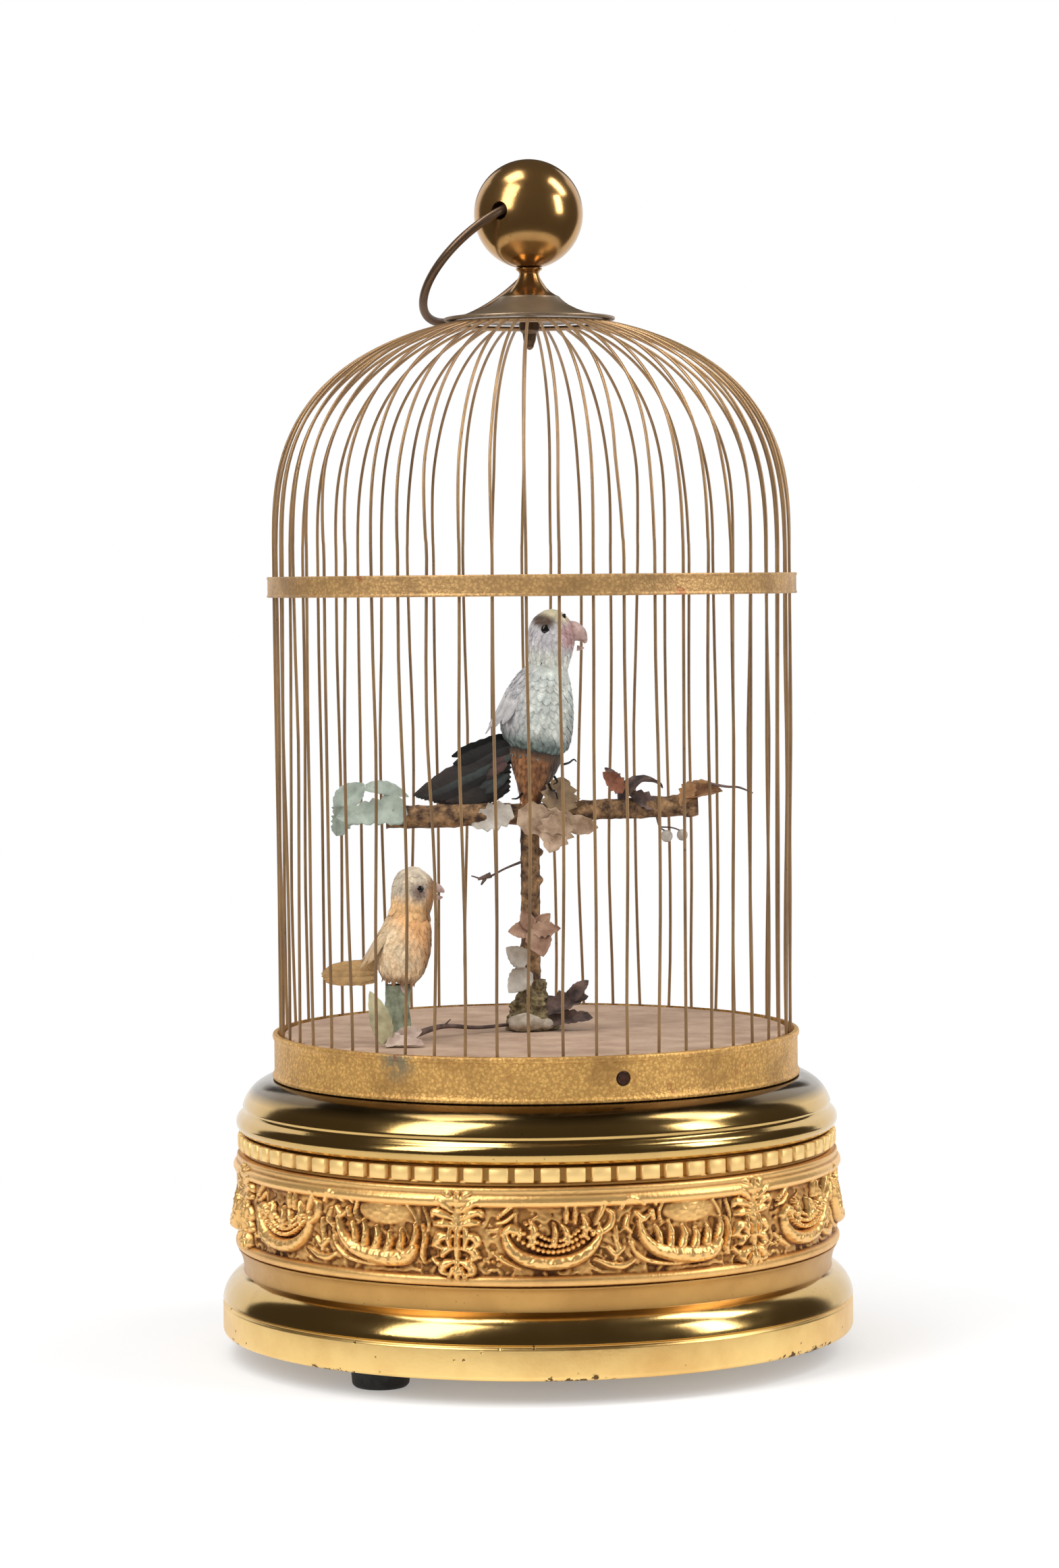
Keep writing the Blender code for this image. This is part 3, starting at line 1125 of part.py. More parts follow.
def build_bird(prefix, frame, unit, legs, body, head, beak_at, beak_length, tail_at, tail, colours):
    """One bird, in units. Legs, body and head are stations, with the neck's shaft down the middle."""
    plumage, breast, beak_colour, tail_colour = colours
    if legs:
        thighs = soft_form(f"{prefix}_bird_legs", legs, lambda n: feather(n, breast), frame, unit)
        add_bore(thighs, legs[0][0] * unit - SHEET, legs[-1][0] * unit + SHEET)
    torso = soft_form(f"{prefix}_bird_body", body, lambda n: feather(n, plumage), frame, unit)
    add_bore(torso, body[0][0] * unit - SHEET, body[-1][0] * unit + SHEET)
    skull = soft_form(f"{prefix}_bird_head", head, lambda n: feather(n, plumage), frame, unit)
    foot = legs[0][0] if legs else body[0][0]
    shaft = extruded(f"{prefix}_neck_shaft", circle(TURN_TUBE_RADIUS), foot * unit + GAP,
                     (head[0][0] + 2.0) * unit, None, parent=frame)
    combine(skull, shaft, "UNION")
    forward, height = beak_at
    upper = [(forward - 2.0, height + 0.3), (forward, height + 0.9), (forward + beak_length, height + 0.3)]
    jaw = tube(f"{prefix}_upper_beak", [(x * unit, 0.0, z * unit) for x, z in upper],
               [1.5 * unit, 1.5 * unit, 0.25 * unit], None, parent=frame)
    combine(skull, jaw, "UNION")
    hinge = ((forward + 0.4) * unit, 0.0, (height - 1.6) * unit)
    lower = [(0.2, 0.0), (beak_length * 0.5, 0.0), (beak_length * 0.8, 0.2)]
    tube(f"{prefix}_beak_lower", [(x * unit, 0.0, z * unit) for x, z in lower],
         [0.9 * unit, 0.7 * unit, 0.2 * unit], lambda n: material(n, beak_colour, 0.5, 0.0),
         at=hinge, parent=frame)
    points = [(x * unit, 0.0, z * unit) for x, z, _ in tail]
    root = (tail_at[0] * unit, 0.0, tail_at[1] * unit)
    tube(f"{prefix}_bird_tail", points, [radius * unit for _, _, radius in tail],
         lambda n: feather(n, tail_colour), at=root, parent=frame, flat=0.5)


def build_upper_bird():
    frame = bird_frame("upper_bird_frame", POST_AT, POST_TOP, radians(10.5))
    legs = ((0.4, 2.3, 0.0), (4.0, 3.4, -0.3), (9.0, 5.6, -0.6), (12.9, 7.0, -0.8))
    body = ((13.3, 6.6, -0.8), (15.5, 8.4, -1.2), (20.0, 9.1, -1.5), (25.0, 8.9, -1.5))
    body += ((30.0, 7.2, -1.2), (34.2, 4.6, -0.4))
    head = ((34.6, 4.4, -0.2), (37.0, 5.5, 0.0), (41.0, 5.9, 0.0), (44.5, 5.0, -0.2))
    head += ((47.0, 2.8, -0.4), (48.0, 0.8, -0.4))
    tail = ((0.0, 0.0, 4.6), (-7.6, -4.9, 4.3), (-14.5, -9.0, 2.7), (-21.4, -12.8, 0.7))
    colours = ((0.55, 0.57, 0.50), (0.25, 0.13, 0.05), (0.42, 0.29, 0.27), (0.05, 0.05, 0.045))
    build_bird("upper", frame, UPPER_UNIT, legs, body, head, (5.6, 41.5), 2.4, (-7.4, 9.4), tail, colours)


def build_lower_bird():
    foot = FLOOR_TOP + GAP
    hollow_rod("lower_stem", STEM_AT, STEM_RADIUS, POST_BORE, foot, foot + STEM_HEIGHT,
               lambda name: leaf_cloth(name, (0.22, 0.23, 0.12)))
    frame = bird_frame("lower_bird_frame", STEM_AT, foot + STEM_HEIGHT, radians(9.7))
    body = ((0.9, 3.9, 0.0), (3.6, 5.6, 0.0), (8.5, 6.8, -0.2), (13.0, 6.0, 0.0), (17.3, 4.4, 0.3))
    head = ((17.7, 4.2, 0.3), (20.0, 5.0, 0.4), (23.5, 5.2, 0.4), (26.5, 3.9, 0.2), (28.4, 1.2, 0.0))
    tail = ((0.0, 0.0, 2.6), (-4.5, -1.2, 3.0), (-8.5, -2.3, 2.5), (-12.0, -3.4, 1.2))
    colours = ((0.74, 0.55, 0.36), (0.74, 0.55, 0.36), (0.36, 0.20, 0.12), (0.36, 0.20, 0.08))
    build_bird("lower", frame, LOWER_UNIT, (), body, head, (5.4, 23.6), 2.0, (-5.8, 2.6), tail, colours)
    build_rods("lower", STEM_AT, foot + STEM_HEIGHT)


def main():
    clear_scene()
    build_base_rim()
    build_base_shell()
    build_frieze_band()
    build_dentil_ring()
    build_bottom_cover()
    build_feet()
    build_collar()
    build_floor_pan()
    build_cage_wires()
    build_mid_band()
    build_cap()
    build_finial_ball()
    build_hanging_ring()
    build_plates()
    build_winding()
    build_barrel()
    build_train()
    build_levers()
    build_stop_lever()
    build_bellows()
    build_whistle()
    build_post()
    build_rods("upper", POST_AT, POST_TOP)
    build_leaves()
    build_upper_bird()
    build_lower_bird()


main()
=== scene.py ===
"""Looks of the singing bird automaton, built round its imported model.

Metres, +Z up, the viewer at -Y. Profiles and places are typed in millimetres.
"""
import random
from math import cos, pi, radians, sin, sqrt

import bmesh
import bpy
import numpy as np
from mathutils import Matrix, Vector
from mathutils import noise as field


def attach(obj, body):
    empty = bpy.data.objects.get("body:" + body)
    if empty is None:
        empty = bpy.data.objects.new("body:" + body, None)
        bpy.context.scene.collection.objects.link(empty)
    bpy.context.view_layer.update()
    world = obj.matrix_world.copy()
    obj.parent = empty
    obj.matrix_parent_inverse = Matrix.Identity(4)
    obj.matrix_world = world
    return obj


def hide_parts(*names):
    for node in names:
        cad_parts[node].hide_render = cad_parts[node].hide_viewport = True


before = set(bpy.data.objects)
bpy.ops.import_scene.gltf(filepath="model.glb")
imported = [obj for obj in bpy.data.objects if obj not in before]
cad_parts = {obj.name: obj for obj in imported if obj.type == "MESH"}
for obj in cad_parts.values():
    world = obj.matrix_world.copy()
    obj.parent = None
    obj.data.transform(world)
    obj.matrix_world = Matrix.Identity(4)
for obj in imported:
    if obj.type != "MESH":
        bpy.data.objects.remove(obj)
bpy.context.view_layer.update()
MM = 0.001
WHITE = (1.0, 1.0, 1.0)


def add_object(name, data):
    made = bpy.data.objects.new(name, data)
    bpy.context.scene.collection.objects.link(made)
    return made


# Camera and studio

LENS, SENSOR = 97.6, 36.0
CAMERA_AT = (-0.0010, -1.0355, 0.1874)
CAMERA_DIP, CAMERA_ROLL = radians(2.718), radians(-0.52)
AIM = Vector((0.0, 0.0, 0.12))
ROOM_RADIUS = 2.2


def build_camera():
    bpy.context.scene.view_settings.view_transform = "Standard"
    data = bpy.data.cameras.new("camera")
    data.sensor_fit = "VERTICAL"
    data.sensor_height = SENSOR
    data.lens = LENS
    data.clip_start = 0.05
    data.clip_end = 30.0
    camera = add_object("camera", data)
    turn = Matrix.Rotation(radians(90.0) - CAMERA_DIP, 4, "X") @ Matrix.Rotation(CAMERA_ROLL, 4, "Z")
    camera.matrix_world = Matrix.Translation(CAMERA_AT) @ turn
    bpy.context.scene.camera = camera


def build_world():
    """White for the eye and in the metal, and a plain pale light on everything else."""
    world = bpy.data.worlds.new("studio")
    bpy.context.scene.world = world
    g = Graph(world)
    g.tree.nodes.clear()
    seen = g.maths("MAXIMUM", g.seen(), g.rays["Is Transmission Ray"])
    pale, white = (g.glow("Background", WHITE, strength) for strength in (0.48, 1.0))
    g.node("OutputWorld", {"Surface": g.choose(seen, pale, white)})


def direction(azimuth, elevation):
    """Unit vector from the object, with azimuth 0 towards the viewer and 90 to the right."""
    a, e = radians(azimuth), radians(elevation)
    return Vector((sin(a) * cos(e), -cos(a) * cos(e), sin(e)))


def softbox(name, azimuth, elevation, distance, width, height, energy):
    data = bpy.data.lights.new(name, "AREA")
    data.shape = "RECTANGLE"
    data.size, data.size_y = width, height
    data.energy = energy
    lamp = add_object(name, data)
    lamp.location = AIM + direction(azimuth, elevation) * distance
    lamp.rotation_euler = (AIM - lamp.location).to_track_quat("-Z", "Y").to_euler()
    return lamp


def build_table():
    """White table that keeps the shadow near the object, lightened there by a share of glow, and glows fully
    further out.
    """
    half = 4.0
    mesh = bpy.data.meshes.new("table")
    corners = [(x, y, 0.0) for y in (-half, half) for x in (-half, half)]
    mesh.from_pydata(corners, [], weave(0, 2, 2, False, False))
    g = new_material("table_white")
    far = g.node("VectorMath", {0: g.where()}, operation="LENGTH").outputs["Value"]
    share = g.times(g.fade(far, -0.06, 0.28, kind="SMOOTHSTEP"), g.seen())
    g.bsdf.inputs["Specular IOR Level"].default_value = 0.1
    g.finish((0.93, 0.93, 0.935), 0.9)
    glow = g.glow("Emission", WHITE, 1.0)
    g.put(g.choose(share, g.bsdf.outputs[0], glow), g.out.inputs["Surface"])
    mesh.materials.append(g.owner)
    add_object("table", mesh)


def build_room():
    """Dark dome that only the metal sees, open behind the object, with a dark floor out to it."""
    across, up = 72, 18
    opening, behind = 130.0, 158.0
    verts = [direction(-180.0 + 360.0 * i / across, 90.0 * j / up) * ROOM_RADIUS
             for j in range(up + 1) for i in range(across + 1)]
    dome = weave(0, up + 1, across + 1, False, False)
    faces = []
    for n, face in enumerate(dome):
        away = abs(-180.0 + 360.0 * (n % across + 0.5) / across)
        if away < opening or n // across >= (3 if away > behind else 8):
            faces.append(face)
    first = len(verts)
    for reach in (0.32, ROOM_RADIUS):
        for i in range(across + 1):
            verts.append(direction(-128.0 + 256.0 * i / across, 0.0) * reach + Vector((0.0, 0.0, 0.0006)))
    faces += weave(first, 2, across + 1, False, False)
    mesh = bpy.data.meshes.new("room_wall")
    mesh.from_pydata([tuple(v) for v in verts], [], faces)
    g = new_material("room_dark")
    g.put(g.glow("Emission", (0.062, 0.052, 0.040), 1.0), g.out.inputs["Surface"])
    mesh.materials.append(g.owner)
    room = add_object("room_wall", mesh)
    room.visible_camera = False
    room.visible_diffuse = False
    room.visible_transmission = False
    room.visible_shadow = False


def build_lamps():
    softbox("softbox_left", -47.0, 38.0, 1.15, 0.46, 0.96, 7.5)
    softbox("softbox_left_high", -84.0, 72.0, 1.15, 0.40, 0.42, 3.5)
    softbox("softbox_right", 91.0, 48.0, 1.2, 0.28, 0.56, 4.2)
    softbox("softbox_right_low", 68.0, 22.0, 1.2, 0.28, 0.62, 4.4)
    softbox("softbox_front", 0.0, 40.0, 1.6, 1.4, 0.5, 3.0).visible_glossy = False


# Materials


class Graph:
    """Short hand for the nodes of one material or world."""

    def __init__(self, owner):
        owner.use_nodes = True
        self.owner = owner
        self.tree = owner.node_tree
        self.bsdf = self.tree.nodes.get("Principled BSDF")
        self.out = self.tree.nodes.get("Material Output")
        self.spot = None

    def node(self, kind, inputs=(), **settings):
        """New node with its settings, and with each input a value or a socket to link."""
        made = self.tree.nodes.new("ShaderNode" + kind)
        for key, value in settings.items():
            setattr(made, key, value)
        for key, value in dict(inputs).items():
            self.put(value, made.inputs[key])
        return made

    def put(self, value, socket):
        if isinstance(value, bpy.types.NodeSocket):
            self.tree.links.new(value, socket)
        else:
            socket.default_value = (*value, 1.0) if socket.type == "RGBA" else value

    def where(self, stretch=None):
        """Object coordinates, in metres, stretched along each axis if asked."""
        if self.spot is None:
            self.spot = self.node("TexCoord").outputs["Object"]
        if stretch is None:
            return self.spot
        return self.node("Mapping", {"Vector": self.spot, "Scale": stretch}).outputs["Vector"]

    def seen(self):
        """1 where the camera or a mirror looks, and 0 for the light on other things."""
        self.rays = self.node("LightPath").outputs
        return self.maths("MAXIMUM", self.rays["Is Camera Ray"], self.rays["Is Glossy Ray"])

    def height(self):
        return self.node("SeparateXYZ", {0: self.where()}).outputs["Z"]

    def noise(self, scale, detail=4.0, rough=0.55, at=None):
        inputs = {"Scale": scale, "Detail": detail, "Roughness": rough, "Vector": at or self.where()}
        return self.node("TexNoise", inputs).outputs["Fac"]

    def cells(self, scale):
        return self.node("TexVoronoi", {"Scale": scale, "Vector": self.where()}).outputs["Distance"]

    def stripes(self, scale, distortion, detail):
        inputs = {"Scale": scale, "Distortion": distortion, "Detail": detail, "Vector": self.where()}
        made = self.node("TexWave", inputs, wave_type="BANDS", bands_direction="DIAGONAL")
        return made.outputs["Fac"]

    def ramp(self, value, *stops):
        """Colour ramp of (position, colour or grey) stops."""
        made = self.node("ValToRGB", {"Fac": value})
        elements = made.color_ramp.elements
        while len(elements) < len(stops):
            elements.new(0.5)
        for element, (place, shade) in zip(elements, stops):
            element.position = place
            element.color = (*shade, 1.0) if isinstance(shade, tuple) else (shade, shade, shade, 1.0)
        return made.outputs["Color"]

    def patches(self, noise, low, high):
        """Mask that rises from 0 to 1 as a noise of (scale, detail, roughness) goes from low to high."""
        return self.ramp(self.noise(*noise), (low, 0.0), (high, 1.0))

    def fade(self, value, low, high, turned=False, kind="LINEAR"):
        """0 at low and 1 at high, or turned round."""
        inputs = {"Value": value, "From Min": low, "From Max": high}
        inputs["To Min"], inputs["To Max"] = (1.0, 0.0) if turned else (0.0, 1.0)
        return self.node("MapRange", inputs, interpolation_type=kind).outputs["Result"]

    def mix(self, share, low, high, blend="MIX"):
        """Two colours, which are the mix node's inputs 6 and 7 and its output 2."""
        made = self.node("Mix", {0: share, 6: low, 7: high}, data_type="RGBA", blend_type=blend)
        return made.outputs[2]

    def cover(self, colour, mask, strength, over):
        return self.mix(self.times(mask, strength), colour, over)

    def maths(self, operation, low, high):
        return self.node("Math", {0: low, 1: high}, operation=operation).outputs[0]

    def times(self, low, high):
        return self.maths("MULTIPLY", low, high)

    def plus(self, low, high):
        return self.maths("ADD", low, high)

    def bump(self, height, strength, distance, after=None):
        inputs = {"Strength": strength, "Distance": distance, "Height": height}
        if after is not None:
            inputs["Normal"] = after
        return self.node("Bump", inputs).outputs["Normal"]

    def glow(self, kind, colour, strength):
        return self.node(kind, {"Color": colour, "Strength": strength}).outputs[0]

    def choose(self, share, low, high):
        return self.node("MixShader", {0: share, 1: low, 2: high}).outputs[0]

    def finish(self, colour, roughness, normal=None, metallic=0.0):
        for name, value in (("Base Color", colour), ("Roughness", roughness), ("Metallic", metallic)):
            self.put(value, self.bsdf.inputs[name])
        if normal is not None:
            self.put(normal, self.bsdf.inputs["Normal"])
        return self.owner


def new_material(name):
    return Graph(bpy.data.materials.new(name))


def scaled(colour, share):
    return tuple(share * v for v in colour)


def brass(name, bright, dull, rough, grain=1.0, wear=0.35, ring_lines=0.0, metal=1.0, shade_under_collar=False):
    """Gilt or polished brass with stains, rubbed patches, pin spots and fine scratches, and if asked painted
    shade at the top of the roll under the collar.
    """
    g = new_material(name)
    stain = g.patches((38.0, 6.0, 0.62), 0.40, 0.68)
    colour = g.cover(bright, stain, wear, dull)
    colour = g.cover(colour, g.patches((900.0, 2.0, 0.5), 0.70, 0.78), 0.55, scaled(dull, 0.35))
    roughness = g.plus(g.times(g.noise(120.0, 5.0, 0.6), 0.16 * grain), rough - 0.08 * grain)
    roughness = g.plus(roughness, g.times(stain, 0.08))
    normal = g.bump(g.noise(1600.0, 3.0, 0.6), 0.10 * grain, 0.0002)
    normal = g.bump(g.noise(60.0, 2.0, 0.5), 0.20, 0.0006, normal)
    if ring_lines:
        turned = g.noise(1.0, 4.0, 0.7, g.where((40.0, 40.0, 6000.0)))
        normal = g.bump(turned, ring_lines, 0.0001, normal)
    # Painted shade: the top of the roll darkens where it runs in under the collar.
    if shade_under_collar:
        collar_shade = g.fade(g.height(), 0.0632, 0.0652)
        colour = g.cover(colour, collar_shade, 0.85, (0.045, 0.028, 0.012))
    return g.finish(colour, roughness, normal, metal)


def stippled(name, bright, dull, depth, metal, smudge=None):
    """Strip stamped all over with small grains, brown between them."""
    g = new_material(name)
    grains = g.plus(g.times(g.cells(1150.0), 0.65), g.times(g.cells(2300.0), 0.35))
    colour = g.cover(bright, g.ramp(grains, (0.22, 0.0), (0.62, 1.0)), 0.75, dull)
    cloud = g.noise(60.0, 5.0, 0.6)
    colour = g.cover(colour, g.ramp(cloud, (0.48, 0.0), (0.66, 1.0)), 0.6, scaled(dull, 0.6))
    if smudge:
        off = g.node("VectorMath", {0: g.where(), 1: smudge}, operation="DISTANCE").outputs["Value"]
        ragged = g.ramp(g.noise(420.0, 4.0, 0.6), (0.34, 0.2), (0.56, 1.0))
        spread = g.times(g.fade(off, 0.0015, 0.0060, turned=True), ragged)
        colour = g.cover(colour, spread, 0.85, (0.17, 0.165, 0.11))
    colour = g.cover(colour, g.patches((170.0, 3.0, 0.6), 0.66, 0.74), 0.6, (0.34, 0.07, 0.02))
    roughness = g.plus(g.times(cloud, 0.15), 0.37)
    normal = g.bump(g.maths("SUBTRACT", 1.0, grains), depth, 0.00025)
    normal = g.bump(g.noise(160.0, 3.0, 0.6), 0.3, 0.0006, normal)
    return g.finish(colour, roughness, normal, metal)


def fascia_gilt(name):
    """Gilding of the foot: pin holes all over, and chips down to the dark metal along the lower edge."""
    g = new_material(name)
    colour = g.mix(g.patches((34.0, 6.0, 0.6), 0.42, 0.70), (1.0, 0.70, 0.27), (0.82, 0.50, 0.17))
    pits = g.times(g.ramp(g.cells(270.0), (0.06, 1.0), (0.11, 0.0)), g.patches((60.0, 3.0, 0.6), 0.45, 0.54))
    edge = g.fade(g.height(), 0.0058, 0.0078, turned=True)
    stretches = g.patches((26.0, 1.0, 0.5, g.where((1.0, 1.0, 0.0))), 0.49, 0.57)
    chips = g.times(g.times(edge, g.patches((420.0, 5.0, 0.65), 0.46, 0.62)), stretches)
    dark = g.maths("MAXIMUM", pits, g.ramp(chips, (0.22, 0.0), (0.34, 1.0)))
    colour = g.cover(colour, dark, 0.9, (0.09, 0.035, 0.015))
    roughness = g.plus(g.times(g.noise(150.0, 5.0, 0.6), 0.16), g.times(dark, 0.25))
    normal = g.bump(g.noise(1300.0, 3.0, 0.6), 0.12, 0.0002)
    normal = g.bump(g.maths("SUBTRACT", 1.0, dark), 0.5, 0.0004, normal)
    normal = g.bump(g.noise(55.0, 3.0, 0.5), 0.25, 0.0007, normal)
    return g.finish(colour, g.plus(roughness, 0.26), normal, 1.0)


def frieze_gilt(name):
    """Gilding that is rubbed bright where the relief stands proud and brown on the field, with painted shade
    dark in the crevices beside the relief.
    """
    g = new_material(name)
    wear_and_shade = g.node("Attribute", attribute_name="paint").outputs["Fac"]
    cloud = g.noise(90.0, 6.0, 0.65)
    share = g.plus(g.times(wear_and_shade, 0.85), g.times(cloud, 0.5))
    # The darkest colour is painted shade in the crevices; the middle one is the brown field.
    crevice_shade, field_gilt, rubbed = (0.08, 0.027, 0.009), (0.44, 0.195, 0.05), (0.95, 0.58, 0.21)
    colour = g.ramp(share, (0.20, crevice_shade), (0.42, field_gilt), (0.86, rubbed))
    normal = g.bump(g.noise(900.0, 3.0, 0.6), 0.35, 0.0003)
    normal = g.bump(cloud, 0.2, 0.0005, normal)
    return g.finish(colour, g.maths("SUBTRACT", 0.50, g.times(wear_and_shade, 0.16)), normal, 0.8)


def cloth(name, light, dark, scale=260.0, rough=0.85, veins=0.3):
    """Painted silk or paper: blotches, a weave and faint fibres."""
    g = new_material(name)
    blotch = g.noise(scale, 5.0, 0.6)
    colour = g.mix(g.ramp(blotch, (0.35, 0.0), (0.65, 1.0)), dark, light)
    colour = g.cover(colour, g.patches((scale * 6.0, 3.0, 0.6), 0.62, 0.72), 0.4, scaled(dark, 0.5))
    normal = g.bump(g.stripes(900.0, 3.0, 2.0), 0.25, 0.0001)
    return g.finish(colour, rough, g.bump(blotch, veins, 0.0005, normal))


def bark(name, light, dark):
    """Brown paper wound round wire, pale and dark in blotches."""
    g = new_material(name)
    blotch = g.noise(420.0, 6.0, 0.65)
    middle = tuple(0.45 * (a + b) for a, b in zip(light, dark))
    colour = g.ramp(blotch, (0.38, dark), (0.53, middle), (0.68, light))
    normal = g.bump(g.noise(1.0, 5.0, 0.7, g.where((700.0, 2600.0, 2600.0))), 0.55, 0.0004)
    return g.finish(colour, 0.86, g.bump(blotch, 0.4, 0.0008, normal))


def feather(name):
    """Feather that takes its colour from the mesh, with barbs."""
    g = new_material(name)
    paint = g.node("Attribute", attribute_name="paint").outputs["Color"]
    blotch = g.noise(500.0, 4.0, 0.6)
    colour = g.mix(1.0, paint, g.ramp(blotch, (0.30, 0.72), (0.70, 1.18)), "MULTIPLY")
    normal = g.bump(g.stripes(700.0, 6.0, 3.0), 0.35, 0.0002)
    g.bsdf.inputs["Sheen Weight"].default_value = 0.15
    return g.finish(colour, 0.8, g.bump(blotch, 0.3, 0.0006, normal))


def plain(name, light, dark, rough, scale=300.0, relief=0.2, metallic=0.0):
    g = new_material(name)
    colour = g.mix(g.patches((scale, 5.0, 0.6), 0.35, 0.66), dark, light)
    roughness = g.plus(g.times(g.noise(scale * 3.0, 3.0), 0.2), rough - 0.1)
    return g.finish(colour, roughness, g.bump(g.noise(scale * 4.0, 4.0, 0.6), relief, 0.0003), metallic)


SCREW_SMUDGE = (-0.0325, -0.0555, 0.0768)
POLISHED = brass("brass_polished", (0.68, 0.45, 0.16), (0.42, 0.26, 0.09), 0.12, 0.4, 0.3, 0.05, shade_under_collar=True)
SATIN = brass("gilt_satin", (0.60, 0.345, 0.11), (0.42, 0.22, 0.065), 0.36, 1.1, 0.50)
FASCIA = fascia_gilt("gilt_fascia")
STIPPLED = stippled("gilt_stippled", (0.90, 0.54, 0.16), (0.46, 0.23, 0.06), 0.7, 0.50, SCREW_SMUDGE)
BAND_BRASS = stippled("brass_band", (0.72, 0.44, 0.17), (0.38, 0.21, 0.08), 0.5, 0.45)
BLOCKS = brass("gilt_blocks", (1.0, 0.70, 0.28), (0.72, 0.44, 0.15), 0.46, 0.8, 0.35, metal=0.5)
FRIEZE_GILT = frieze_gilt("gilt_embossed")
WIRE_GILT = brass("gilt_wire", (0.46, 0.28, 0.13), (0.22, 0.13, 0.075), 0.32, 1.0, 0.85, metal=0.6)
BRONZE = brass("bronze_dark", (0.20, 0.125, 0.075), (0.10, 0.06, 0.04), 0.34, 1.0, 0.7, metal=0.8)
BALL_BRASS = brass("brass_ball", (0.56, 0.32, 0.11), (0.38, 0.20, 0.085), 0.16, 0.7, 0.55, metal=0.94)
CAP_BRASS = brass("brass_cap", (0.34, 0.25, 0.16), (0.18, 0.125, 0.08), 0.32, 1.0, 0.7, 0.2, 0.7)
SCREW = plain("screw_dark", (0.10, 0.035, 0.02), (0.03, 0.012, 0.01), 0.5, 900.0, 0.3, 0.6)
MOVEMENT = brass("brass_movement", (0.72, 0.54, 0.26), (0.46, 0.32, 0.14), 0.38, 0.8, 0.3, 0.15)
STEEL = plain("steel_oiled", (0.46, 0.46, 0.48), (0.24, 0.23, 0.23), 0.36, 700.0, 0.15, 1.0)
RUBBER = plain("rubber_black", (0.030, 0.030, 0.032), (0.012, 0.012, 0.013), 0.62, 500.0, 0.3)
FLOOR = cloth("floor_paint", (0.50, 0.345, 0.24), (0.35, 0.225, 0.15), 90.0, 0.85, 0.35)
WOOD = plain("bellows_wood", (0.50, 0.31, 0.15), (0.30, 0.17, 0.08), 0.55, 160.0, 0.3)
LEATHER = plain("bellows_leather", (0.58, 0.38, 0.23), (0.38, 0.23, 0.13), 0.7, 500.0, 0.5)
BARK = bark("bark_wrap", (0.44, 0.25, 0.11), (0.045, 0.02, 0.01))
MOSS = cloth("moss", (0.30, 0.23, 0.11), (0.06, 0.04, 0.022), 700.0, 0.95, 0.9)
PEBBLE = cloth("pebble", (0.50, 0.43, 0.34), (0.28, 0.22, 0.16), 420.0, 0.9, 0.5)
GREY_GREEN = cloth("leaf_grey_green", (0.40, 0.45, 0.38), (0.24, 0.28, 0.23), 240.0)
TAN_LEAF = cloth("leaf_tan", (0.50, 0.355, 0.245), (0.22, 0.13, 0.07), 240.0)
BROWN_LEAF = cloth("leaf_brown", (0.42, 0.22, 0.09), (0.14, 0.06, 0.025))
LOBE_LEAF = cloth("leaf_lobe", (0.28, 0.19, 0.10), (0.12, 0.075, 0.045))
DARK_LEAF = cloth("leaf_dark", (0.16, 0.10, 0.08), (0.035, 0.022, 0.02), 300.0)
OLIVE_LEAF = cloth("leaf_olive", (0.52, 0.47, 0.28), (0.30, 0.27, 0.16), 240.0)
RED_LEAF = cloth("leaf_red", (0.34, 0.13, 0.07), (0.12, 0.04, 0.02))
PINK_LEAF = cloth("leaf_pink", (0.48, 0.31, 0.21), (0.24, 0.125, 0.08), 240.0)
STEM_GREEN = cloth("stem_green", (0.34, 0.38, 0.26), (0.13, 0.14, 0.09), 300.0, 0.85, 0.6)
FLOOR_LEAF = cloth("leaf_floor_pale", (0.56, 0.44, 0.36), (0.36, 0.25, 0.20))
PALE_LEAF = cloth("leaf_pale", (0.56, 0.52, 0.45), (0.34, 0.29, 0.24), 240.0)
PLUMAGE = feather("plumage")
HORN = plain("beak_horn", (0.52, 0.36, 0.32), (0.28, 0.17, 0.14), 0.45, 600.0, 0.15)
EYE = plain("eye_glass", (0.012, 0.010, 0.009), (0.004, 0.004, 0.004), 0.12, 300.0, 0.0)


# Mesh helpers


def weave(base, rows, across, round_rows=False, round_across=True):
    """Faces between rows of points, numbered from base, that may close on themselves either way."""
    faces = []
    for i in range(rows if round_rows else rows - 1):
        a, b = base + i * across, base + (i + 1) % rows * across
        for k in range(across if round_across else across - 1):
            m = (k + 1) % across
            faces.append((a + k, a + m, b + m, b + k))
    return faces


def tube_faces(base, rows, across):
    """Faces of a closed tube of points, with its two ends."""
    last = base + (rows - 1) * across
    ends = [tuple(range(base + across - 1, base - 1, -1)), tuple(range(last, last + across))]
    return weave(base, rows, across) + ends


def circle(count):
    """Cosine and sine of count even steps of a turn."""
    return [(cos(2 * pi * k / count), sin(2 * pi * k / count)) for k in range(count)]


def globe(rows, across):
    """Points of a unit sphere without its poles, row after row."""
    heights = [-pi / 2 + pi * (j + 0.5) / rows for j in range(rows)]
    return [Vector((c * cos(b), s * cos(b), sin(b))) for b in heights for c, s in circle(across)]


def drawn_out(values, count):
    """Values typed at even steps, drawn out to a longer count."""
    return np.interp(np.linspace(0.0, len(values) - 1.0, count), range(len(values)), values)


def add_mesh(name, verts, faces, surfaces, angle=38.0, pick=None):
    """Object from plain lists, in metres. pick gives each face's material index."""
    mesh = bpy.data.meshes.new(name)
    mesh.from_pydata([tuple(v) for v in verts], [], faces)
    for surface in surfaces if isinstance(surfaces, list) else [surfaces]:
        mesh.materials.append(surface)
    if pick:
        mesh.polygons.foreach_set("material_index", pick)
    mesh.shade_smooth()
    mesh.set_sharp_from_angle(angle=radians(angle))
    return add_object(name, mesh)


def reshape(made, change):
    """Run one mesh operation on a piece."""
    bm = bmesh.new()
    bm.from_mesh(made.data)
    change(bm)
    bm.to_mesh(made.data)
    bm.free()
    made.data.shade_smooth()


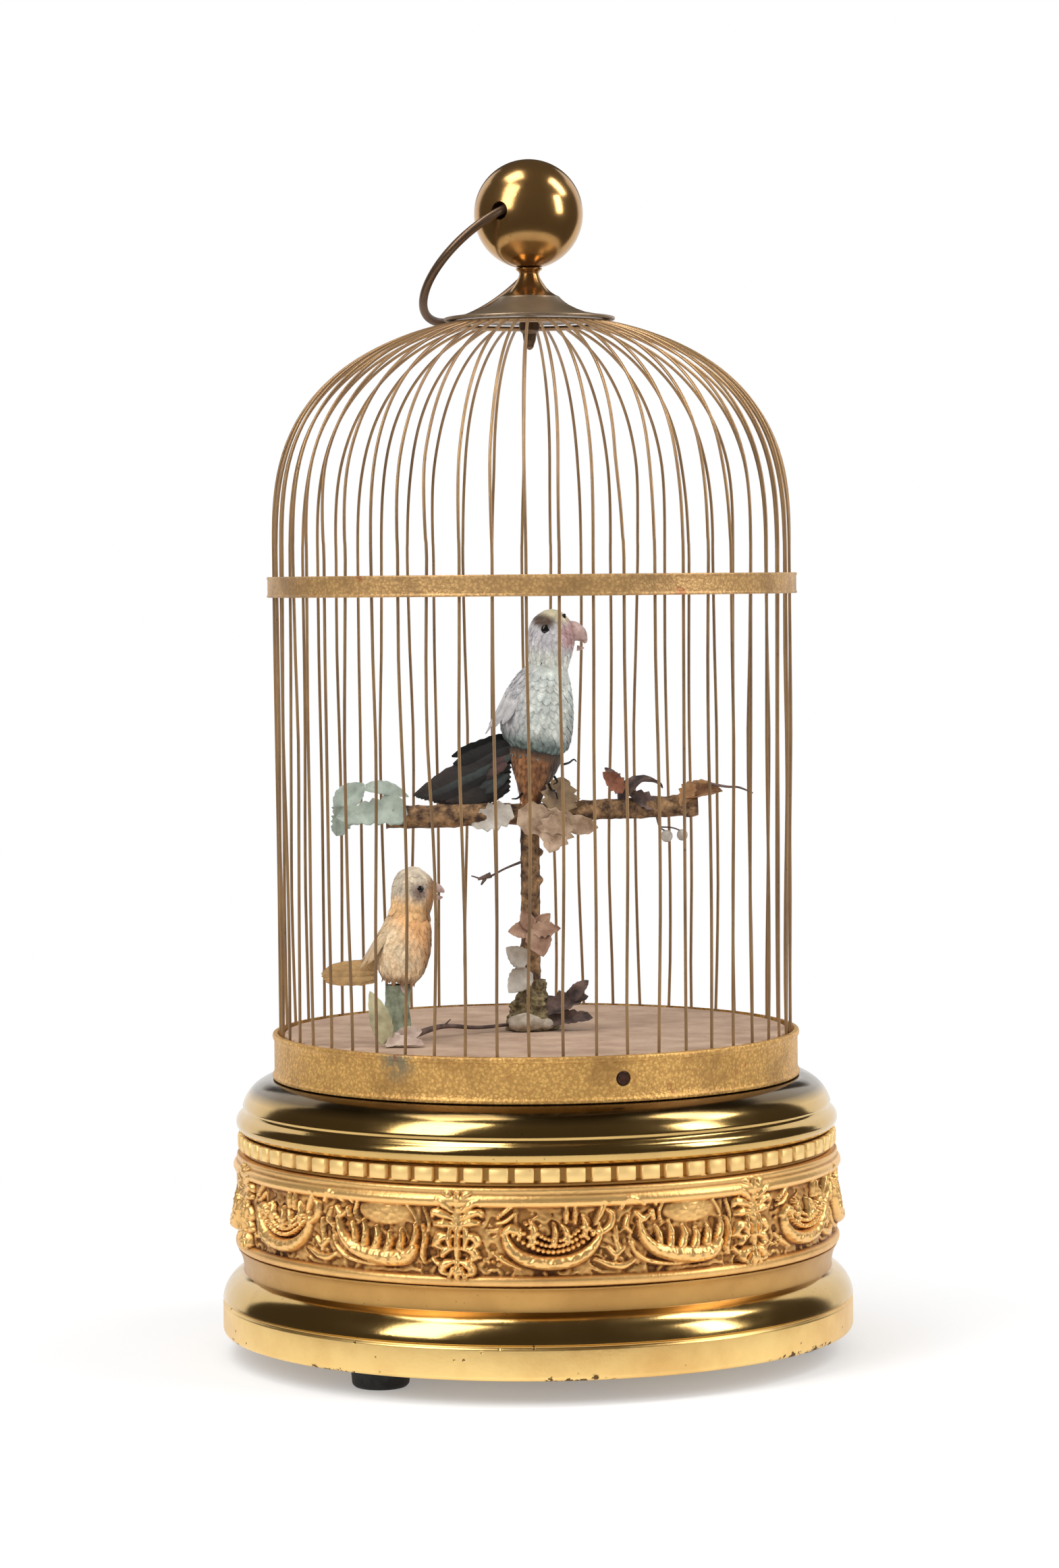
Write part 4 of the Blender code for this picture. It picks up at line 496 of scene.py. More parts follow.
def add_solid(name, verts, faces, surfaces, angle=38.0, pick=None):
    """Closed piece with every face turned outwards."""
    made = add_mesh(name, verts, faces, surfaces, angle, pick)
    reshape(made, lambda bm: bmesh.ops.recalc_face_normals(bm, faces=bm.faces))
    return made


def paint(made, colours):
    """Keep a colour at each point, which the materials read as "paint"."""
    shade = np.ones((len(colours), 4), dtype=np.float32)
    shade[:, :3] = colours
    layer = made.data.color_attributes.new("paint", "FLOAT_COLOR", "POINT")
    layer.data.foreach_set("color", shade.ravel())


def seat(made, node=None, body="base"):
    """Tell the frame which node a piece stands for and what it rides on."""
    if node:
        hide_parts(node)
    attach(made, body)
    return made


def carry(made, parent):
    """Let a small piece go along with a larger one."""
    made.parent = parent
    return made


def rounded(points, closed=True):
    """Profile of (radius, height[, fillet]) with each fillet drawn as an arc."""
    out = []
    count = len(points)
    for i, point in enumerate(points):
        here = Vector(point[:2])
        fillet = point[2] if len(point) > 2 else 0.0
        if fillet <= 0.0 or (not closed and i in (0, count - 1)):
            out.append(here)
            continue
        before = Vector(points[i - 1][:2]) - here
        after = Vector(points[(i + 1) % count][:2]) - here
        reach = min(fillet, before.length * 0.48, after.length * 0.48)
        start, end = here + before.normalized() * reach, here + after.normalized() * reach
        for t in (0.0, 0.25, 0.5, 0.75, 1.0):
            out.append(start * (1 - t) ** 2 + here * (2 * t * (1 - t)) + end * t ** 2)
    return [(p[0], p[1]) for p in out]


def arc(centre, radius, start, end, steps):
    angles = [radians(start + (end - start) * i / steps) for i in range(steps + 1)]
    return [(centre[0] + radius * cos(a), centre[1] + radius * sin(a)) for a in angles]


def bow(start, end, rise, steps=20):
    """Points along a shallow arc from start to end, which stands rise off their chord to the right."""
    a, b = Vector(start), Vector(end)
    chord = (b - a).length
    radius = (chord ** 2 / 4 + rise ** 2) / (2 * rise)
    right = Vector(((b - a)[1], -(b - a)[0])) / chord
    centre = (a + b) / 2 - right * (radius - rise)
    x, y = a - centre
    turns = [2 * np.arcsin(chord / (2 * radius)) * k / steps for k in range(steps + 1)]
    return [(centre[0] + x * cos(t) - y * sin(t), centre[1] + x * sin(t) + y * cos(t)) for t in turns]


def lathe(name, profile, surfaces, segments=192, closed=True, at=(0.0, 0.0, 0.0), zone=None):
    """Spin a profile in millimetres. A profile that isn't closed starts and ends on the axis."""
    verts, rings, faces, pick = [], [], [], []
    for radius, height in profile:
        turn = circle(segments) if radius > 1e-9 else [(0.0, 0.0)]
        rings.append(range(len(verts), len(verts) + len(turn)))
        verts += [(at[0] + radius * c * MM, at[1] + radius * s * MM, at[2] + height * MM) for c, s in turn]
    rows = list(range(len(rings)))
    for lower, upper in zip(rows, rows[1:] + (rows[:1] if closed else [])):
        low, high = rings[lower], rings[upper]
        middle = ((profile[lower][0] + profile[upper][0]) / 2, (profile[lower][1] + profile[upper][1]) / 2)
        for i in range(segments):
            j = (i + 1) % segments
            if len(low) == 1:
                faces.append((low[0], high[j], high[i]))
            elif len(high) == 1:
                faces.append((low[i], low[j], high[0]))
            else:
                faces.append((low[i], low[j], high[j], high[i]))
        pick += [zone(*middle) if zone else 0] * segments
    return add_solid(name, verts, faces, surfaces, pick=pick)


def frames_along(path):
    """Point, side and up at each point of a path, carried along without twist."""
    path = [Vector(p) for p in path]
    out = []
    side = None
    for i, point in enumerate(path):
        ahead = (path[min(i + 1, len(path) - 1)] - path[max(i - 1, 0)]).normalized()
        if side is None:
            side = ahead.cross(Vector((0.0, 1.0, 0.0)))
            if side.length < 0.1:
                side = ahead.cross(Vector((1.0, 0.0, 0.0)))
        side = (side - ahead * side.dot(ahead)).normalized()
        out.append((point, side, ahead.cross(side).normalized()))
    return out


def tube_mesh(path, radii, sides, verts, faces, bumpy=None):
    """Add a closed round tube in millimetres to the lists."""
    base = len(verts)
    for i, (point, side, up) in enumerate(frames_along(path)):
        for k in range(sides):
            a = 2 * pi * k / sides
            reach = radii[i] + (bumpy(i, a) if bumpy else 0.0)
            verts.append((point + (side * cos(a) + up * sin(a)) * reach) * MM)
    faces += tube_faces(base, len(path), sides)


def smooth_path(points, steps):
    """Catmull-Rom curve through points."""
    pts = [Vector(p) for p in points]
    pts = [pts[0] * 2 - pts[1]] + pts + [pts[-1] * 2 - pts[-2]]
    out = []
    for i in range(1, len(pts) - 2):
        a, b, c, d = pts[i - 1:i + 3]
        for k in range(steps):
            t = k / steps
            out.append(0.5 * ((2 * b) + (c - a) * t + (2 * a - 5 * b + 4 * c - d) * t ** 2
                              + (3 * b - a - 3 * c + d) * t ** 3))
    out.append(pts[-2])
    return out


def take_out(made, tool):
    """Cut one closed piece out of another."""
    step = made.modifiers.new("hole", "BOOLEAN")
    step.operation = "DIFFERENCE"
    step.solver = "EXACT"
    step.object = tool
    ready = made.evaluated_get(bpy.context.evaluated_depsgraph_get())
    mesh = bpy.data.meshes.new_from_object(ready)
    made.modifiers.clear()
    made.data = mesh
    bpy.data.objects.remove(tool, do_unlink=True)


def drill(made, start, end, radius):
    """Take a round hole out of a piece, from start to end in millimetres."""
    verts, faces = [], []
    tube_mesh([start, end], [radius] * 2, 40, verts, faces)
    take_out(made, add_solid(made.name + "_tool", verts, faces, STEEL))
    made.data.set_sharp_from_angle(angle=radians(38.0))


# Base casing

FIELD_RADIUS = 72.4
RELIEF_LOW, RELIEF_HIGH = 27.0, 49.4
BORDER_LOW, BORDER_HIGH = 27.2, 49.3
TILE = radians(57.6) * FIELD_RADIUS
TILE_COLUMNS, TILE_ROWS = 364, 112
FIRST_MOTIF = radians(270.0 - 14.6)
GARLAND_AT = radians(17.3) * FIELD_RADIUS
CARTOUCHE_AT = radians(40.6) * FIELD_RADIUS
STRIP_SEGMENTS = 1600
DENTILS, FIRST_DENTIL, DENTIL_HEIGHT = 77, radians(272.3), 52.3
FOOT_CIRCLE, FIRST_FOOT = 61.5, radians(233.0)
COLLAR_SCREW_ANGLE = radians(288.3)


def build_casing():
    rim = [(75.8, 5.8, 0.25), (76.5, 5.8, 0.3), (77.0, 6.5, 0.4), (77.0, 13.1, 0.3), (76.45, 13.6, 0.2)]
    rim += bow((76.98, 14.2), (72.2, 20.6), 1.0)
    rim += [(71.8, 20.75, 0.1), (71.8, 21.6), (71.88, 22.5), (72.08, 23.6), (72.4, 24.7)]
    rim += [(72.8, 25.7), (73.2, 26.25, 0.1), (73.2, 26.6, 0.1), (70.9, 26.6), (70.9, 17.5)]
    rim += [(69.6, 17.5), (75.8, 12.7)]

    def rim_zone(r, z):
        return 0 if r > 71.9 and 13.7 < z < 20.7 else 2 if r > 75.0 and z < 13.8 else 1

    made = lathe("rim_turned", rounded(rim), [POLISHED, SATIN, FASCIA], zone=rim_zone)
    seat(made, "base_rim")

    shell = [(70.6, 17.8), (70.6, 54.3), (71.4, 54.3, 0.2), (72.3, 54.9, 0.3)]
    shell += arc((70.7, 57.0), 2.6, -46.0, 46.0, 10)
    shell += [(72.1, 59.2, 0.2), (71.5, 59.7, 0.15), (71.5, 60.3, 0.15)]
    shell += bow((71.68, 60.9), (65.0, 67.3), 1.25)
    shell += [(58.1, 67.3, 0.1), (58.1, 66.3), (65.1, 66.3), (69.6, 59.7), (69.6, 17.8)]
    made = lathe("shell_turned", rounded(shell), [POLISHED, SATIN], zone=lambda r, z: 0 if z > 54.2 else 1)
    seat(made, "base_shell")


# Strokes of the embossed ornament: points (along, height), half-widths, and height over the field.
PALMETTE = [
    ([(0, 49.3), (0, 46.8)], (0.59, 0.92), 1.9),
    ([(0.2, 45.6), (0.3, 44.8)], (0.99, 0.99), 1.5),
    ([(0, 44.2), (0, 41.0), (0, 39.5)], (1.08, 1.84, 0.97), 1.3),
    ([(0, 40.0), (0, 36.0), (0, 32.0)], (0.66, 0.86, 0.53), 2.1),
    ([(0.7, 45.6), (1.9, 47.6), (3.4, 48.4)], (0.53, 1.06, 0.33), 1.5),
    ([(-0.7, 45.6), (-1.9, 47.8), (-3.6, 48.2)], (0.53, 1.06, 0.33), 1.5),
    ([(1.2, 44.2), (3.0, 45.6), (4.9, 46.3), (5.6, 45.4)], (0.66, 1.19, 1.06, 0.53), 1.9),
    ([(1.4, 42.6), (3.2, 43.6), (5.2, 43.9), (5.7, 43.0)], (0.66, 1.19, 0.92, 0.53), 1.8),
    ([(1.3, 41.0), (3.0, 41.6), (4.8, 41.5)], (0.66, 1.19, 0.66), 1.6),
    ([(-1.2, 44.2), (-2.9, 45.7), (-4.6, 46.7), (-5.5, 46.0)], (0.66, 1.19, 1.06, 0.53), 1.8),
    ([(-1.4, 42.6), (-3.4, 43.4), (-5.3, 43.8), (-5.9, 42.8)], (0.66, 1.19, 1.06, 0.53), 1.7),
    ([(-1.3, 41.0), (-3.3, 41.2), (-5.4, 41.0)], (0.66, 1.19, 0.66), 1.5),
    ([(1.8, 40.0), (2.0, 37.6), (1.6, 35.2)], (0.53, 0.79, 0.46), 1.8),
    ([(-1.8, 40.0), (-2.0, 37.6), (-1.6, 35.2)], (0.53, 0.79, 0.46), 1.8),
    ([(0.9, 38.4), (3.6, 38.2), (4.6, 36.8), (3.6, 36.0)], (0.53, 1.06, 0.92, 0.66), 1.5),
    ([(-0.9, 38.4), (-3.8, 38.0), (-4.9, 36.4), (-3.8, 35.6)], (0.53, 1.06, 0.92, 0.66), 1.5),
    ([(0.8, 35.6), (3.2, 35.2), (4.2, 33.8), (3.2, 33.0)], (0.53, 1.06, 0.92, 0.66), 1.6),
    ([(-0.8, 35.6), (-2.8, 35.0), (-3.6, 33.6)], (0.53, 1.06, 0.66), 1.4),
    ([(0, 32.4), (0, 30.0), (0, 28.2)], (0.65, 1.19, 0.43), 2.4),
    ([(0.6, 32.6), (2.6, 31.8), (3.4, 30.2), (2.2, 29.4)], (0.53, 1.19, 1.06, 0.53), 2.2),
    ([(-0.6, 32.6), (-2.6, 32.0), (-3.6, 30.6), (-2.4, 29.6)], (0.53, 1.19, 1.06, 0.53), 2.2),
    ([(1.0, 31.0), (1.9, 28.8)], (0.66, 0.66), 2.1),
    ([(-1.0, 31.0), (-1.9, 28.8)], (0.66, 0.66), 2.1),
]
GARLAND = [
    ([(-11.0, 39.4), (-9.9, 36.0), (-6.6, 33.4), (-1.2, 32.3), (4.2, 32.9), (8.4, 35.2), (10.6, 38.6),
      (10.4, 41.4)], (0.8, 1.3, 1.6, 1.7, 1.6, 1.3, 0.8, 0.4), 2.3),
    ([(-11.4, 39.0), (-9.6, 40.2), (-7.8, 39.4), (-7.6, 37.6)], (0.8, 1.2, 0.9, 0.4), 1.9),
    ([(-4.8, 37.0), (-4.4, 39.8), (-5.4, 42.2)], (1.0, 0.9, 0.25), 1.6),
    ([(0.2, 36.8), (0.5, 39.2), (0.2, 41.6)], (0.9, 0.7, 0.25), 1.8),
    ([(3.0, 41.6), (3.1, 43.6), (3.0, 45.8)], (0.5, 0.7, 0.25), 1.5),
    ([(5.0, 41.4), (5.1, 43.6), (5.0, 45.6)], (0.5, 0.7, 0.25), 1.5),
    ([(3.2, 37.4), (3.0, 39.6), (2.0, 41.0)], (0.8, 0.8, 0.3), 1.4),
    ([(7.2, 38.6), (7.4, 41.0), (6.6, 43.4)], (0.8, 0.8, 0.3), 1.6),
    ([(8.6, 39.6), (11.0, 39.2), (13.2, 40.8), (13.6, 43.2), (12.2, 44.4)], (0.4, 0.8, 0.9, 0.8, 0.5), 1.6),
    ([(9.6, 41.0), (10.8, 43.4), (12.0, 46.2)], (0.4, 0.8, 0.7), 1.5),
    ([(11.6, 46.6), (12.8, 46.0)], (0.8, 0.8), 1.7),
    ([(-12.2, 43.4), (-10.4, 44.6), (-8.4, 46.4)], (0.35, 0.6, 0.35), 1.1),
    ([(-12.8, 41.4), (-10.6, 42.0), (-8.6, 43.8)], (0.35, 0.6, 0.35), 1.1),
    ([(-13.6, 34.6), (-11.0, 32.8), (-7.4, 31.0)], (0.4, 0.7, 0.3), 1.0),
    ([(9.6, 33.0), (13.0, 31.6), (16.2, 31.2), (19.0, 32.4)], (0.4, 0.8, 0.9, 0.4), 1.1),
    ([(12.6, 35.6), (14.4, 34.0), (16.4, 35.4)], (0.5, 0.8, 0.5), 1.0),
    ([(14.4, 40.0), (14.6, 37.0)], (0.5, 0.7), 0.8),
]
CARTOUCHE = [
    ([(-9.4, 41.0), (-8.2, 37.4), (-5.2, 34.6), (-0.6, 33.2), (4.6, 32.7), (9.0, 33.2), (11.2, 35.4)],
     (0.7, 1.2, 1.6, 1.9, 2.1, 2.0, 1.2), 2.5),
    ([(-4.4, 36.0), (-4.8, 38.4), (-5.8, 40.4)], (0.9, 0.8, 0.25), 1.6),
    ([(-1.8, 35.2), (-1.6, 38.4), (-2.4, 41.2)], (1.0, 0.8, 0.25), 1.8),
    ([(1.2, 35.0), (1.8, 37.6), (1.2, 40.0)], (1.1, 0.9, 0.25), 1.9),
    ([(4.4, 34.8), (5.0, 37.0), (4.6, 39.0)], (1.1, 0.9, 0.25), 2.0),
    ([(7.6, 35.2), (8.0, 37.4), (7.6, 39.6)], (1.1, 0.8, 0.25), 2.1),
    ([(10.8, 36.2), (11.6, 38.6), (11.2, 41.2)], (0.9, 0.8, 0.3), 1.9),
    ([(13.2, 40.4), (13.8, 37.6), (13.2, 34.0), (13.8, 31.8)], (0.4, 0.7, 0.7, 0.4), 1.8),
    ([(-3.4, 46.4), (2.4, 47.2), (8.0, 46.0), (11.2, 42.6), (11.9, 38.6)], (0.25, 0.35, 0.4, 0.4, 0.3), 0.8),
    ([(-3.6, 45.6), (-4.6, 42.8), (-3.8, 40.6)], (0.4, 0.45, 0.3), 1.2),
    ([(13.4, 44.6), (14.6, 41.0), (13.8, 37.6)], (0.3, 0.45, 0.3), 0.8),
    ([(-13.8, 44.4), (-12.4, 46.8), (-9.8, 46.2), (-8.0, 44.8)], (0.5, 0.9, 0.9, 0.4), 1.7),
    ([(-8.2, 47.2), (-6.4, 46.4), (-5.2, 44.6)], (0.4, 0.8, 0.4), 1.4),
    ([(-10.2, 43.4), (-8.6, 41.8), (-7.0, 42.6)], (0.5, 0.9, 0.5), 1.5),
    ([(-12.0, 42.6), (-12.6, 40.4), (-11.2, 38.6)], (0.5, 0.8, 0.4), 1.3),
    ([(-6.4, 43.4), (-6.0, 41.6)], (0.7, 0.6), 1.6),
    ([(-11.6, 36.6), (-10.0, 33.8), (-6.6, 31.8), (-1.0, 30.9), (5.0, 30.9)], (0.3, 0.5, 0.6, 0.5, 0.3), 0.9),
    ([(15.6, 36.0), (16.8, 38.4), (18.8, 38.8)], (0.5, 0.8, 0.4), 1.1),
    ([(15.4, 33.0), (17.4, 31.8), (19.4, 33.0)], (0.4, 0.8, 0.4), 1.2),
    ([(16.6, 44.2), (18.2, 46.2), (20.0, 46.6)], (0.35, 0.7, 0.35), 1.1),
    ([(-15.4, 38.4), (-14.4, 35.2), (-15.2, 32.6)], (0.35, 0.7, 0.35), 0.9),
]


def tile_relief():
    """One repeat of the strip as a grid of heights over the field, in millimetres."""
    grid = np.zeros((TILE_ROWS, TILE_COLUMNS))
    wide, tall = TILE / TILE_COLUMNS, (RELIEF_HIGH - RELIEF_LOW) / (TILE_ROWS - 1)

    def stamp(along, height, half, lift):
        """One round dome."""
        reach = int(half / min(wide, tall)) + 2
        column, row = along / wide, (height - RELIEF_LOW) / tall
        columns = np.arange(int(column) - reach, int(column) + reach + 1)
        rows = np.arange(max(0, int(row) - reach), min(TILE_ROWS, int(row) + reach + 1))
        away = (((columns - column) * wide)[None, :] ** 2 + ((rows - row) * tall)[:, None] ** 2) / half ** 2
        places = np.ix_(rows, columns % TILE_COLUMNS)
        grid[places] = np.maximum(grid[places], lift * np.sqrt(np.clip(1.0 - away, 0.0, 1.0)))

    def stroke(offset, points, halves, lift):
        """A row of domes along a curve, lower where it is thin."""
        path = smooth_path([(x, z, 0.0) for x, z in points], 10)
        width = drawn_out(halves, len(path))
        for k in range(len(path) - 1):
            pieces = max(1, int((path[k + 1] - path[k]).length / 0.16))
            for m in range(pieces):
                p = path[k].lerp(path[k + 1], m / pieces)
                half = width[k] + (width[k + 1] - width[k]) * m / pieces
                stamp(offset + p[0], p[1], half, lift * (0.45 + 0.55 * half / max(halves)))

    def cloud(across, up, seed):
        return np.array([[field.noise(Vector((c * wide * across, r * tall * up, seed)))
                          for c in range(TILE_COLUMNS)] for r in range(TILE_ROWS)])

    for offset, strokes in ((0.0, PALMETTE), (GARLAND_AT, GARLAND), (CARTOUCHE_AT, CARTOUCHE)):
        for points, halves, lift in strokes:
            stroke(offset, points, halves, lift)
    for k in range(17):
        t = (k - 8) / 8
        for row, size in enumerate((0.62, 0.56, 0.5)):
            along = (9.0 - row * 1.1) * t + 0.35 * row
            stamp(GARLAND_AT + along, 34.9 + 3.9 * t * t + 1.25 * row, size, 1.9 - 0.25 * row)
    for k in range(9):
        stamp(GARLAND_AT - 12.5 + 0.62 * k, 42.6 + 0.5 * k, 0.42, 1.3)
        stamp(2.2 + 1.0 * k, 33.2 + 0.8 * sin(k * 0.9), 0.42, 1.0)
    x = (np.arange(TILE_COLUMNS) * wide - CARTOUCHE_AT - 3.4)[None, :]
    z = (RELIEF_LOW + np.arange(TILE_ROWS) * tall - 43.4)[:, None]
    cushion = 0.75 * np.sqrt(np.clip(1.0 - (x / 7.0) ** 2 - (z / 3.3) ** 2, 0.0, 1.0))
    vine = 0.24 * np.clip(1.0 - np.abs(cloud(0.30, 0.34, 11.0)) * 5.0, 0.0, 1.0) ** 0.6
    rough = cloud(0.9, 0.9, 4.0)
    grid = np.maximum(np.maximum(grid, cushion), vine)
    return grid * (1.0 + 0.14 * rough) + 0.14 * np.clip(rough, 0.0, 1.0)


def relief(angles, heights):
    """Height of the ornament over the field, for grids of angle and height, with a seam at the back."""
    tile = tile_relief()
    along = ((angles - FIRST_MOTIF + pi) % (2 * pi) - pi) * FIELD_RADIUS
    column = (along / TILE * TILE_COLUMNS) % TILE_COLUMNS
    row = (heights - RELIEF_LOW) / (RELIEF_HIGH - RELIEF_LOW) * (TILE_ROWS - 1)
    row = np.clip(row, 0.0, TILE_ROWS - 1.001)
    c0, r0 = column.astype(int), row.astype(int)
    fc, fr = column - c0, row - r0
    c0, c1 = c0 % TILE_COLUMNS, (c0 + 1) % TILE_COLUMNS
    low, high = (tile[r, c0] * (1 - fc) + tile[r, c1] * fc for r in (r0, r0 + 1))
    seam = np.clip(np.abs((angles - radians(90.0) + pi) % (2 * pi) - pi) / radians(2.0) - 0.4, 0.0, 1.0)
    return (low * (1 - fr) + high * fr) * seam


def build_frieze():
    outline = [(26.9, 73.3), (27.2, 73.6), (27.8, 73.75), (28.4, 73.75), (28.9, 73.5), (29.2, 73.0)]
    outline += [(29.5, 72.45), (30.2, 72.4), (44.4, 72.4), (44.9, 72.7), (45.1, 73.3), (45.5, 73.8)]
    outline += [(46.2, 74.1), (46.9, 74.05), (47.4, 73.8), (47.7, 73.3), (48.0, 73.2), (49.0, 73.3)]
    outline += [(49.3, 73.15), (49.5, 72.9)]
    levels = [26.9, 27.1] + list(np.arange(27.3, 49.35, 0.21)) + [49.5]
    turn = 2 * pi * np.arange(STRIP_SEGMENTS) / STRIP_SEGMENTS
    height, angle = np.meshgrid(levels, turn, indexing="ij")
    flat = np.interp(height, [z for z, _ in outline], [r for _, r in outline])
    inside = np.minimum(height - BORDER_LOW, BORDER_HIGH - height) / 0.6
    lift = relief(angle, height) * np.clip(inside, 0.0, 1.0)
    radius = np.where(lift > 0.05, np.maximum(flat, FIELD_RADIUS + 0.15 + lift), flat)

    # How far each point stands proud of the field and of what is round it, for the paint: height over the
    # field gives the rubbed gilding, and rising or falling against what is round it lightens the ridges and
    # paints shade into the crevices. The lower border is kept duller.
    mean = sum(np.roll(radius, k, axis=1) for k in range(-3, 4)) / 7
    mean = np.pad(mean, ((4, 4), (0, 0)), "edge")
    mean = sum(mean[k:k + len(radius)] for k in range(9)) / 9
    wear_and_shade = np.clip(0.5 * (radius - FIELD_RADIUS) + 0.22 + 1.1 * (radius - mean), 0.0, 1.0)
    wear_and_shade *= np.interp(height, (29.0, 29.8), (0.62, 1.0))

    inner = np.ones((2, STRIP_SEGMENTS))
    radius = np.concatenate([radius, 70.9 * inner])
    height = np.concatenate([height, inner * [[49.5], [26.9]]])
    wear_and_shade = np.concatenate([wear_and_shade, inner])
    points = np.stack([radius * np.cos(turn), radius * np.sin(turn), height], axis=2).reshape(-1, 3) * MM
    faces = weave(0, len(radius), STRIP_SEGMENTS, round_rows=True)
    made = add_mesh("frieze_embossed", points.tolist(), faces, FRIEZE_GILT, 70.0)
    paint(made, np.repeat(wear_and_shade.reshape(-1, 1), 3, axis=1))
    seat(made, "frieze_band")


def build_dentils():
    """Ring of small blocks with rounded edges on a plain fillet. Each block narrows to its face."""
    profile = [(70.9, 49.8), (71.8, 49.8, 0.2), (71.8, 50.5, 0.2), (71.4, 51.0), (71.4, 53.8)]
    ring = lathe("dentil_fillet", rounded(profile + [(71.6, 54.0), (70.9, 54.0)]), SATIN)
    verts, faces = [], []
    pitch = 2 * pi / DENTILS
    for i in range(DENTILS):
        faces += tube_faces(len(verts), 3, 4)
        for reach, shrink in ((71.2, 1.0), (72.7, 1.0), (73.0, 0.86)):
            for share, z in ((-0.37, 50.7), (0.37, 50.7), (0.37, 53.95), (-0.37, 53.95)):
                a = FIRST_DENTIL + i * pitch + share * pitch * shrink
                height = DENTIL_HEIGHT + (z - DENTIL_HEIGHT) * shrink
                verts.append((reach * cos(a) * MM, reach * sin(a) * MM, height * MM))
    made = add_solid("dentils", verts, faces, BLOCKS, 50.0)
    reshape(made, lambda bm: bmesh.ops.bevel(bm, geom=bm.edges, offset=0.12 * MM, segments=2, affect="EDGES"))
    seat(ring, "dentil_ring")
    carry(made, ring)


def build_feet():
    profile = [(0.0, 0.0), (5.9, 0.0, 0.3), (6.7, 0.7, 0.5), (7.0, 4.6, 0.2), (6.8, 4.9, 0.1)]
    profile += [(7.0, 5.2, 0.1), (7.0, 10.2, 0.4), (6.4, 10.7, 0.2), (0.0, 10.7)]
    profile = rounded(profile, closed=False)
    for k, side in enumerate(("front", "right", "back")):
        a = FIRST_FOOT + 2 * pi * k / 3
        at = (FOOT_CIRCLE * cos(a) * MM, FOOT_CIRCLE * sin(a) * MM, 0.0)
        seat(lathe("foot_" + side, profile, RUBBER, 64, False, at), "rubber_foot_" + side)


def build_collar():
    profile = [(63.1, 67.6), (64.3, 67.6, 0.2), (64.35, 68.3, 0.2), (64.0, 68.8, 0.2), (63.85, 69.6, 0.3)]
    profile += [(63.85, 76.7, 0.2), (64.15, 77.1, 0.15), (64.3, 77.7, 0.3), (64.1, 78.3, 0.2), (63.1, 78.4)]
    made = lathe("collar_turned", rounded(profile), STIPPLED, 256)
    x, y = cos(COLLAR_SCREW_ANGLE), sin(COLLAR_SCREW_ANGLE)
    drill(made, (62.0 * x, 62.0 * y, 73.0), (66.0 * x, 66.0 * y, 73.0), 1.8)
    seat(made, "collar_strip")


def build_floor():
    profile = [(0.0, 78.2)] + [(r, 78.2) for r in range(4, 60, 4)]
    profile += [(61.0, 78.2, 0.2), (61.3, 77.9, 0.1), (61.3, 67.6), (60.3, 67.6), (60.3, 77.0), (0.0, 77.0)]
    made = lathe("floor_disc", rounded(profile, closed=False), FLOOR, 160, False)
    for x, y in (UPPER_ROOT[:2], LOWER_ROOT[:2]):
        drill(made, (x, y, 70.0), (x, y, 85.0), TUBE_BORE)
    seat(made, "floor_pan")


# Cage

WIRES, FIRST_WIRE, WIRE_RADIUS = 51, radians(268.8), 0.37
CAGE_RADIUS, SPRING_HEIGHT, DOME_RISE = 62.6, 193.0, 59.0
WIRE_FOOT, WIRE_RISE, BAND_HEIGHT = 68.0, 182.0, 186.7
# Radius and height of each hoop, and half the thickness up and outwards of its wire.
FOOT_HOOP = (62.2, 68.2, 0.6, 0.6)
CROWN_RING = (19.0, 249.9, 0.62, 1.178)
BALL_HEIGHT, BALL_RADIUS, CORE_RADIUS, RING_HOLE = 276.48, 13.2, 11.8, 2.2
RING_TURN, RING_DROOP = radians(32.4), radians(44.5)
RING_RADIUS, RING_WIRE, RING_OFF_BALL = 20.1, 1.05, 12.4


def hoop(place, steps, sides, verts, faces):
    """Add a closed ring to the lists. place takes cosine and sine round the ring, then round its wire."""
    base = len(verts)
    verts += [place(c, s, d, t) * MM for c, s in circle(steps) for d, t in circle(sides)]
    faces += weave(base, steps, sides, round_rows=True)


def wire_line():
    """(radius, height) up one wire, from the foot hoop to the crown ring."""
    line = [(62.2, 67.9), (62.2, 72.0), (62.25, 90.0), (62.35, 110.0), (62.42, 130.0), (62.5, 150.0)]
    line.append((62.56, 170.0))
    for t in (-0.0001, 0.08, 0.16, 0.24, 0.32, 0.40, 0.48, 0.55):
        line.append((CAGE_RADIUS * sqrt(1 - t ** 3), SPRING_HEIGHT + DOME_RISE * t))
    for k in range(1, 17):
        a = radians(24.5 + (71.2 - 24.5) * k / 16)
        line.append((CAGE_RADIUS * cos(a), SPRING_HEIGHT + DOME_RISE * sin(a) ** (2.0 / 3.0)))
    return line


